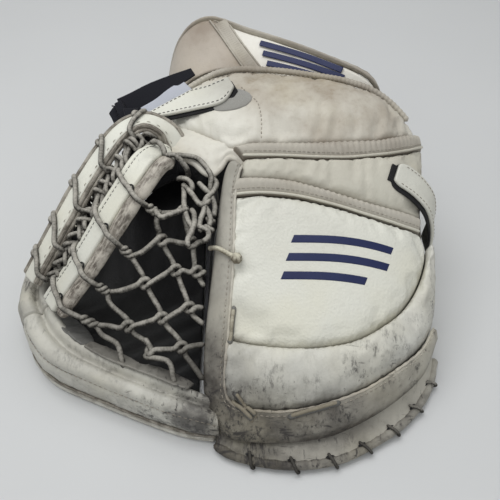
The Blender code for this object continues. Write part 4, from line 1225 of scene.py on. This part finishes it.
def net():
    """The pocket net: laces that hook each other in rows, from the T to the finger side and the rim."""
    t1, t2, t3, t4 = NET_STARTS
    b1, b2, c1, c2, c3 = (0.43, 0.36), (0.36, 0.78), (0.67, 0.37), (0.53, 0.66), (0.48, 0.94)
    d1, d2, d3, e2, e3 = (0.92, 0.37), (0.79, 0.63), (0.67, 0.89), (0.98, 0.58), (0.88, 0.84)
    a2 = (0.24, 0.50)
    routes = [
        [t1, (0.37, 0.20), (*b1, UNDER), (*b2, OVER), (*c3, UNDER), (0.46, 1.06)],
        [t1, (0.29, 0.28), (*a2, OVER), (*b2, UNDER), (0.30, 1.06)],
        [t2, (*c1, UNDER), (*c2, OVER), (*d3, UNDER), (0.63, 1.06)],
        [t2, (0.53, 0.20), (*b1, OVER), (*c2, UNDER), (*c3, OVER), (0.53, 1.06)],
        [t3, (0.77, 0.18), (*c1, OVER), (*d2, UNDER), (*d3, OVER), (0.71, 1.06)],
        [t3, (0.86, 0.16), (*d1, UNDER), (*d2, OVER), (*e3, UNDER), (0.80, 1.06)],
        [t4, (0.97, 0.22), (*d1, OVER), (*e2, UNDER), (*e3, OVER), (0.95, 0.97), (0.98, 1.02)],
    ]
    laces = [cord(weave(route)) for route in routes]
    for start, hole in ((weave([t4, (1.03, 0.20)]), (-96, -103, 38)),
                        (weave([(0.93, 0.52), (0.98, 0.60), (1.02, 0.56)]), (-56, -118, 38))):
        hole = np.array(hole)
        laces.append(cord(start + [hole + (-5, 13, 10), hole + (-1, 3, 3), hole + (1, -2, -4)]))
    # the tangle of laces at the net's top, by the root of the T
    tangle = [
        [(-78, 32, 144), (-71, 30, 146), (-66, 22, 146), (-65, 18, 141)],
        [(-64, 19, 141), (-62, 17, 144), (-57, 18, 143), (-51, 15, 137), (-48, 14, 130), (-49, 14, 121)],
        [(-58, 32, 132), (-55, 29, 134), (-42, 27, 133), (-34, 20, 129), (-30, 13, 125), (-31, 8, 119),
         (-29, 1, 112)],
        [(-57, 12, 123), (-54, 11, 126), (-48, 8, 127), (-44, 3, 124), (-47, 1, 120)],
        [(-53, 10, 121), (-46, 0, 122), (-38, -11, 119), (-33, -8, 118), (-31, -1, 116)],
        [(-52, 9, 119), (-51, 3, 120), (-50, -12, 117), (-47, -23, 115), (-43, -29, 112), (-45, -36, 109)],
        [(-71, -16, 117), (-70, -21, 121), (-66, -27, 121), (-60, -23, 120), (-50, -16, 118),
         (-47, -12, 114)],
        [(-45, -12, 115), (-42, -20, 117), (-42, -29, 114), (-46, -40, 111), (-45, -46, 108)],
        [(-41, 12, 121), (-35, 4, 121), (-30, -1, 118), (-27, -7, 113), (-28, -15, 109)],
        [(-31, 17, 122), (-26, 11, 121), (-29, 1, 120), (-34, -5, 119), (-35, -15, 116), (-38, -24, 113),
         (-37, -31, 109)],
        [(-43, -21, 110), (-38, -28, 112), (-32, -30, 111), (-31, -35, 108), (-36, -38, 106)],
        [(-34, -17, 111), (-30, -21, 111), (-27, -18, 108)],
        [(-35, -25, 111), (-31, -28, 110), (-27, -27, 106)],
        [(-38, -4, 115), (-33, -12, 115), (-30, -20, 113), (-31, -26, 109)],
    ]
    laces += [cord(route) for route in tangle]
    build("net_laces", laces, "lace", NET_BEND, ["pocket_net"])


NET_BEND = ("finger_side", "t_trap", to_frame((-36, 0, 75)), to_frame((-60, 0, 75)))


def band_laces():
    """Laces over the T: loops round the outer band, a tangled chain in the gap, and the crossings
    over the inner band that lead into the net."""
    loops = []
    for begin, end in ((0.19, 0.27), (0.36, 0.45), (0.55, 0.64), (0.72, 0.81), (0.88, 0.95)):
        steps = [(begin + 0.026, 4.0, 1.6), (begin + 0.024, 7.0, 3.9), (begin + 0.016, 9.6, 2.4),
                 (begin + 0.008, 10.2, -1.5), (begin - 0.002, 10.4, -2.0), (begin - 0.008, 10.4, 0.8),
                 (begin - 0.006, 8.4, 3.8), (begin + 0.004, 4.5, 4.9), ((begin + end) / 2, -2.5, 4.9),
                 (end - 0.004, -8.6, 4.6), (end + 0.002, -12.2, 1.0), (end + 0.012, -14.5, -4)]
        loops.append(cord([on_band(OUTER_BAND, *step) for step in steps], LACE * 0.95))
    build("outer_band_loops", loops, "lace", "t_trap")
    chain = []
    w = np.linspace(0, 1, 240)
    left = np.array([on_band(OUTER_BAND, 0.16 + 0.80 * share, -11.5, -2) for share in w])
    right = np.array([on_band(INNER_BAND, 0.02 + 0.88 * share, 14.5, -2) for share in w])
    middle, across = (left + right) / 2, (left - right) / 2
    upper = unit(np.cross(unit(across), unit(np.gradient(middle, axis=0))))
    if upper[0, 2] < 0:
        upper = -upper
    # painted shade: a black strip under the gap chain stands in for the shadow between the bands
    build("gap_shade_strip", [strap(middle - upper * 5.0, 7.0, 7.0, 1.0, upper)], "hook", "t_trap")
    for k, (rate, reach, rise, drop) in enumerate(((6.5, 0.80, 2.6, 0.6), (6.5, 0.80, 2.6, 0.6),
                                                   (4.1, 0.95, 1.4, -1.8))):
        turn = 2 * math.pi * (rate * w + k / 3) + 1.8 * ripple(w * 7, k * 3.7, seed=2)
        wander = ripple(w * 9, k * 5.1, seed=9)
        path = (middle + across * (reach * np.sin(turn) + 0.22 * wander)[:, None]
                + upper * (drop + rise * np.sin(2 * turn) + 1.1 * wander)[:, None])
        path[1:-1] = (path[:-2] + path[1:-1] + path[2:]) / 3
        chain.append(tube(path, LACE * 0.88, 9))
    build("gap_chain_laces", chain, "lace", "t_trap", ["band_lacing"], grime=0.12)
    crossings = []
    for share, end in zip(EYELETS[1:], lace_ends()):
        steps = [(-0.055, 20, -6), (-0.04, 17.5, 0.5), (-0.025, 13.5, 3.7), (-0.010, 6, 5.2), (0, 0, 5.0),
                 (0.002, -3.0, 4.8), (0.008, -6.5, 5.2), (0.014, -10.8, 5.6), (0.02, -15.4, 2.6)]
        route = [on_band(INNER_BAND, share + on, off, lift) for on, off, lift in steps]
        crossings.append(cord(route + [end * 0.55 + route[-1] * 0.45, end]))
        start, along_it = route[-1], unit(end - route[-1])
        first = unit(np.cross(along_it, (0, 0, 1.0)))
        second = np.cross(first, along_it)
        for phase in (0.0, math.pi):
            twist = []
            for n in range(17):
                share_of = n / 16
                a = phase + 2 * math.pi * 1.4 * share_of
                spread = LACE * (0.95 if share_of > 0.15 else share_of * 6)
                twist.append(start + (end - start) * (0.45 + 0.6 * share_of)
                             + spread * (first * math.cos(a) + second * math.sin(a)))
            crossings.append(cord(twist, LACE * 0.95, 0.9))
    build("crossing_laces", crossings, "lace", "t_trap")
    holes = []
    for share in EYELETS:
        centre = on_band(INNER_BAND, share, -3.2, 3.1)
        beside = [on_band(INNER_BAND, share + on, 0, 0) for on in (-0.01, 0.01)]
        _, side, upper = axes(np.array(beside))
        ring = [centre + 2.6 * (side[0] * math.cos(a) + np.cross(upper[0], side[0]) * math.sin(a))
                for a in np.linspace(0, 2 * math.pi, 25)]
        holes.append(tube(ring, 0.7, 8))
    build("eyelet_rings", holes, "hook", "t_trap")


WALL_SIDES = 64


def wall(outer, inner, height, section, count, crumple=0.8, seed=0.0):
    """A rim standing on the ground between two outlines: section gives (inward, up) shares of its
    width and height, from the outer foot over the top to the inner foot."""
    s = np.linspace(0, 1, count)
    a, b = along(outer, s), along(inner, s)
    ring = along(section, np.linspace(0, 1, WALL_SIDES, endpoint=False), True)
    round_it = ring[:, 1] + ring[:, 0]
    reach = length_of(outer)
    high = height(s)
    points = []
    for k in range(count):
        plan = a[k] + (b[k] - a[k]) * ring[:, :1]
        z = np.maximum(ring[:, 1] * high[k], 0.0)
        place = np.full(len(ring), s[k] * reach)
        folds = ripple(place, round_it * 2.2, 15, 1, 0, seed)
        fine = ripple(place, round_it * 5, 6, 1, 0, seed + 9)
        push = crumple * (folds + 0.45 * fine) * np.sin(math.pi * np.clip(ring[:, 1] * 0.9 + 0.1, 0, 1))
        outward = unit(a[k] - b[k])
        plan = plan + outward * (push * (1 - ring[:, 0]))[:, None]
        points.append(np.column_stack([plan, np.maximum(z + push * 0.8 * ring[:, 0], 0.0)]))
    points = np.array(points)
    low = np.clip(1 - points[..., 2] / 16, 0, 1)
    return points.reshape(-1, 3), tube_faces(*points.shape[:2]), 0.3 * low.ravel()


RIM_SECTION = [(0.12, 0.0), (0.02, 0.01), (-0.06, 0.06), (-0.08, 0.12), (-0.05, 0.18), (0.01, 0.205),
               (-0.02, 0.26), (-0.06, 0.38), (-0.07, 0.52), (-0.055, 0.66), (-0.01, 0.75), (0.045, 0.785),
               (0.03, 0.82), (0.045, 0.88), (0.11, 0.95), (0.24, 0.985), (0.38, 0.99), (0.50, 0.93),
               (0.56, 0.86), (0.62, 0.90), (0.72, 1.02), (0.86, 1.05), (0.96, 0.97), (1.0, 0.82),
               (0.97, 0.6), (0.95, 0.3), (0.95, 0.05), (0.90, 0.0), (0.5, 0.0)]


RIM_SEAM = 0.785                               # the seam's share of the rim's height


def rim_height(s):
    """The pocket rim's height, highest at the T's foot and lowest where it meets the fingers."""
    return 36 + 8 * (1 - s) ** 3 - 9 * np.clip((s - 0.84) / 0.16, 0, 1) ** 2


def rims():
    """The padded rim on the ground, from the T's foot round to the heel."""
    build("pocket_rim_cover", [wall(RIM_OUT, RIM_IN, rim_height, RIM_SECTION, 170, 1.1, 3)],
          "rim", NET_BEND, ["pocket_rim"], 0.08, 0.2)
    shares = np.linspace(0.0, 0.985, 220)
    outer, inner = along(RIM_OUT, shares), along(RIM_IN, shares)
    away = unit(outer - inner)
    wave = 0.4 * ripple(outer[:, 0], outer[:, 1], 14, 14, 0, 77)
    for name, off, high, radius, look in (("rim_base_piping", 1.2, 8.0, 1.3, "edge"),
                                          ("rim_base_strip", 0.4, 3.4, 2.6, "rim_strip")):
        line = np.column_stack([outer + away * (off + 0.3 * wave)[:, None], high + wave])
        build(name, [tube(line, radius, 10, 1.2, (0, 0, 1))], look, NET_BEND)
    flaps = []
    for begin, end, reach in ((0.02, 0.30, 13.0), (0.30, 0.60, 8.0), (0.58, 0.88, 8.5)):
        at = np.linspace(begin, end, 60)
        shape = np.sin(math.pi * np.linspace(0.03, 0.97, 60)) ** 0.7
        a, b = along(RIM_OUT, at), along(RIM_IN, at)
        inwards = unit(b - a)
        folds = ripple(a[:, 0], a[:, 1], 7, 7, 0, 79)
        inset = b + inwards * (reach * 0.30 * shape - 2)[:, None]
        path = np.column_stack([inset, 39.5 - 2 * shape + 1.5 * folds])
        flaps.append(strap(path, 4.0 + reach * 0.55 * shape, 4.0 + reach * 0.4 * shape, 1.8,
                           np.column_stack([inwards * 0.7, np.ones(60)]), 0.6))
    build("rim_lining_corner", flaps[:1], "lip", NET_BEND)
    build("rim_top_flaps", flaps[1:], "fold", NET_BEND, grime=0.25, scuff=0.35)
    share = np.linspace(0, 1, 300)
    seam = along(RIM_OUT, share)
    heights = RIM_SEAM * rim_height(share)
    outward = unit(np.cross(np.gradient(np.column_stack([seam, 0 * heights]), axis=0), (0, 0, 1.0)))
    if outward[150, 1] > 0:
        outward = -outward
    row = np.column_stack([seam, heights]) - outward * 0.45
    # painted shade: a dark tube sunk along the seam darkens its groove
    build("rim_seam_groove_shade", [tube(row[6:-6] - outward[6:-6] * 0.7, 0.5, 6)], "lip", NET_BEND)
    build("rim_seam_stitches", stitches(row, 3.0, 1.4, 0.34, 0.0), "thread", NET_BEND,
          grime=0.3)
    foot_out, foot_in = ([(-190, -2), (-192, -22), (-190, -44), (-183, -60)],
                         [(-166, -6), (-167, -24), (-164, -40), (-158, -50)])
    heel_out, heel_in = ([(-54, 127), (20, 130), (80, 126), (122, 106)],
                         [(-56, 111), (20, 111), (80, 108), (116, 94)])
    for node_name, body, outer, inner, high, count, slack, seed, grime, scuff in (
            ("t_foot", "t_trap", foot_out, foot_in, 45, 60, 1.9, 8, 0.3, 0.35),
            ("thumb_rim", "thumb_side", THUMB_RIM_OUT, THUMB_RIM_IN, 30, 120, 1.0, 5, 0.0, 0.0),
            ("heel_rim", "finger_side", heel_out, heel_in, 26, 110, 0.8, 6, 0.0, 0.0)):
        build(node_name + "_cover",
              [wall(outer, inner, lambda s: high + 0 * s, RIM_SECTION, count, slack, seed)],
              "rim", body, [node_name], grime, scuff)
    build("little_finger_cover",
          [pad([(149, -74), (149.5, -40), (148.5, 0), (146, 50), (135, 94)],
               [(138, -70), (141, -40), (141, 0), (138, 45), (125, 84)],
               lambda x, y, s, t: (9 + (dome(x, y) - 26) * t ** 0.6
                                   + 0.9 * ripple(y, 60 * t, 22, 16, 0.3, 95) * np.clip(4 * t, 0, 1)),
               lambda x, y, s, t: 0 * x, 1.2, 1.2)],
          "worn", "finger_side", ["little_finger_wall"], scuff=0.15)


# ---------------------------------------------------------------- thumb side and inside

def thumb_side():
    """The thumb's padded back, its palm, and the lacing that joins it to the T."""
    def back_height(x, y, s, t):
        soft = 1.2 * ripple(x, y, 30, 24, 0.2, 71)
        return thumb_dome(x, t) - 3.6 + 4 * pillow(s, t) + soft

    build("thumb_back_cover",
          [pad(THUMB_FOOT, THUMB_TOP, back_height, lambda x, y, s, t: thumb_dome(x, t) - 13, 5.0, 2.8)],
          "white", "thumb_side", ["thumb_back_panel"])
    build("thumb_palm_cover",
          [pad(shifted(THUMB_FOOT, y=4), shifted(THUMB_TOP, y=-4), lambda x, y, s, t: thumb_palm(x) + LEATHER,
               lambda x, y, s, t: thumb_palm(x), 1.2, 3.5)],
          "palm", "thumb_side", ["thumb_palm_leather"])
    left = [(-76, 70, 122), (-94, 68, 120), (-122, 50, 102), (-150, 24, 76), (-170, 4, 54)]
    right = [(-80, 70, 104), (-100, 64, 94), (-124, 48, 74), (-146, 26, 54), (-158, 8, 44)]
    laces = []
    for k in range(8):
        a, b, c = along(left, [k / 8, (k + 0.5) / 8, (k + 1) / 8])
        p, q = along(right, [(k + 0.25) / 8, (k + 0.75) / 8])
        laces.append(cord([a, (a + p) / 2, p, (p * 0.5 + b * 0.5) + (0, 0, 2), b, (b + q) / 2, q,
                           (q + c) / 2 + (0, 0, 2), c], LACE * 0.9))
    bend = ("t_trap", "thumb_side", to_frame((-120, 62, 100)), to_frame((-120, 48, 76)))
    build("thumb_laces", laces, "lace", bend, ["thumb_net"])


def inside():
    """Dark leather over the palm and the web between the halves, the web running on down to the ground inside
    the rim as a dark sheet of painted shade, and finishes for what stays.
    """
    front = [(-12, -104), (40, -110), (88, -94), (124, -60)]
    back = [(-36, 118), (20, 122), (70, 118), (112, 100)]
    build("palm_cover",
          [pad(front, back, lambda x, y, s, t: palm(x, y) + LEATHER,
               lambda x, y, s, t: palm(x, y) + 0.3 * ripple(x, y, 20, 20, 0, 5), 1.2, 4.0)],
          "palm", "finger_side", ["palm_leather"])

    def web_height(x, y, s, t):
        reach = np.clip((x + 66) / 30, 0, 1)
        high = (thumb_palm(np.minimum(x, -66)) - 2 - 6 * bell(x, -80, 18)) * (1 - reach) + 60 * reach
        folds = 3.4 * np.sin(y / 5.2 - x / 11 + 0.8) * bell(t, 0.16, 0.22) + 1.2 * ripple(x, y, 14, 40, 0, 91)
        return 6.5 + (high - 6.5) * np.clip((t - 0.12) / 0.86, 0, 1) ** 1.5 + folds

    # The web leather between the halves is real; its run down to the ground inside the rim is a dark sheet
    # standing in for the pocket's shade.
    foot = [(-168, -20), (-152, -52), (-124, -80), (-84, -100), (-40, -112)]
    top = [(-150, 2), (-138, 20), (-121, 43), (-106, 62), (-94, 82), (-82, 104), (-68, 121), (-52, 119),
           (-39, 115)]
    build("web_leather_and_shade_sheet",
          [pad(foot, top, web_height, lambda x, y, s, t: web_height(x, y, s, t) - LEATHER, 1.2, 3.2)],
          "palm", NET_BEND, ["web_leather"])
    # the index wall's dark lining also stands in for shade inside the pocket
    finishes = {"foam": ("palm_foam", "thumb_palm_foam"),
                "plastic": ("finger_stiffener", "thumb_stiffener", "cuff_stiffener"),
                "lining": ("index_wall", "back_flap_lining", "cuff_lining", "thumb_loop", "finger_loop_index",
                           "finger_loop_middle", "finger_loop_ring", "finger_loop_little")}
    for look, names in finishes.items():
        for name in names:
            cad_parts[name].data.materials.clear()
            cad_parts[name].data.materials.append(LOOKS[look])


covered = finger_back()
stripes(covered)
gusset()
panel_laces(covered)
hand_back()
crotch()
cuff()
straps()
t_trap()
band_laces()
net()
rims()
thumb_side()
inside()


# ---------------------------------------------------------------- camera, light and floor

def studio():
    """A pale floor, a soft key light from the upper left, and the camera."""
    mesh = bpy.data.meshes.new("floor")
    mesh.from_pydata([(-3, -3, 0), (3, -3, 0), (3, 3, 0), (-3, 3, 0)], [], [(0, 1, 2, 3)])
    floor = bpy.data.objects.new("floor", mesh)
    bpy.context.scene.collection.objects.link(floor)
    made, tree, shader, at = blank("floor_paint", 0.55, 0.3)
    tint = mix(tree, clouds(tree, at, 3, 3), (0.60, 0.61, 0.61), (0.66, 0.67, 0.67))
    tree.links.new(tint, shader.inputs["Base Color"])
    mesh.materials.append(made)
    for name, place, aim, size, power in (
            ("key", (-0.34, 0.14, 1.28), (0, 0, 0.05), 0.85, 8.4),
            ("fill", (0.2, -1.2, 0.9), (0, 0, 0.05), 1.2, 3.4),
            ("top", (0.5, 0.6, 1.5), (0, 0, 0.05), 1.2, 3.6)):
        data = bpy.data.lights.new(name, "AREA")
        data.size = size
        data.energy = power
        lamp = bpy.data.objects.new(name, data)
        lamp.location = place
        lamp.rotation_euler = (Vector(aim) - Vector(place)).to_track_quat("-Z", "Y").to_euler()
        bpy.context.scene.collection.objects.link(lamp)
    world = bpy.data.worlds.new("studio")
    world.use_nodes = True
    world.node_tree.nodes["Background"].inputs[0].default_value = (0.97, 0.985, 1.0, 1)
    world.node_tree.nodes["Background"].inputs[1].default_value = 0.40
    bpy.context.scene.world = world
    bpy.context.scene.view_settings.view_transform = "Standard"
    data = bpy.data.cameras.new("camera")
    data.lens = CAMERA_LENS
    data.sensor_width = 36
    data.clip_start = 0.01
    camera = bpy.data.objects.new("camera", data)
    back = np.array((0, -math.cos(CAMERA_RISE), math.sin(CAMERA_RISE)))
    camera.location = to_frame(CAMERA_AIM) + back * CAMERA_AWAY * MM
    camera.rotation_euler = Vector(-back).to_track_quat("-Z", "Y").to_euler()
    bpy.context.scene.collection.objects.link(camera)
    bpy.context.scene.camera = camera


studio()
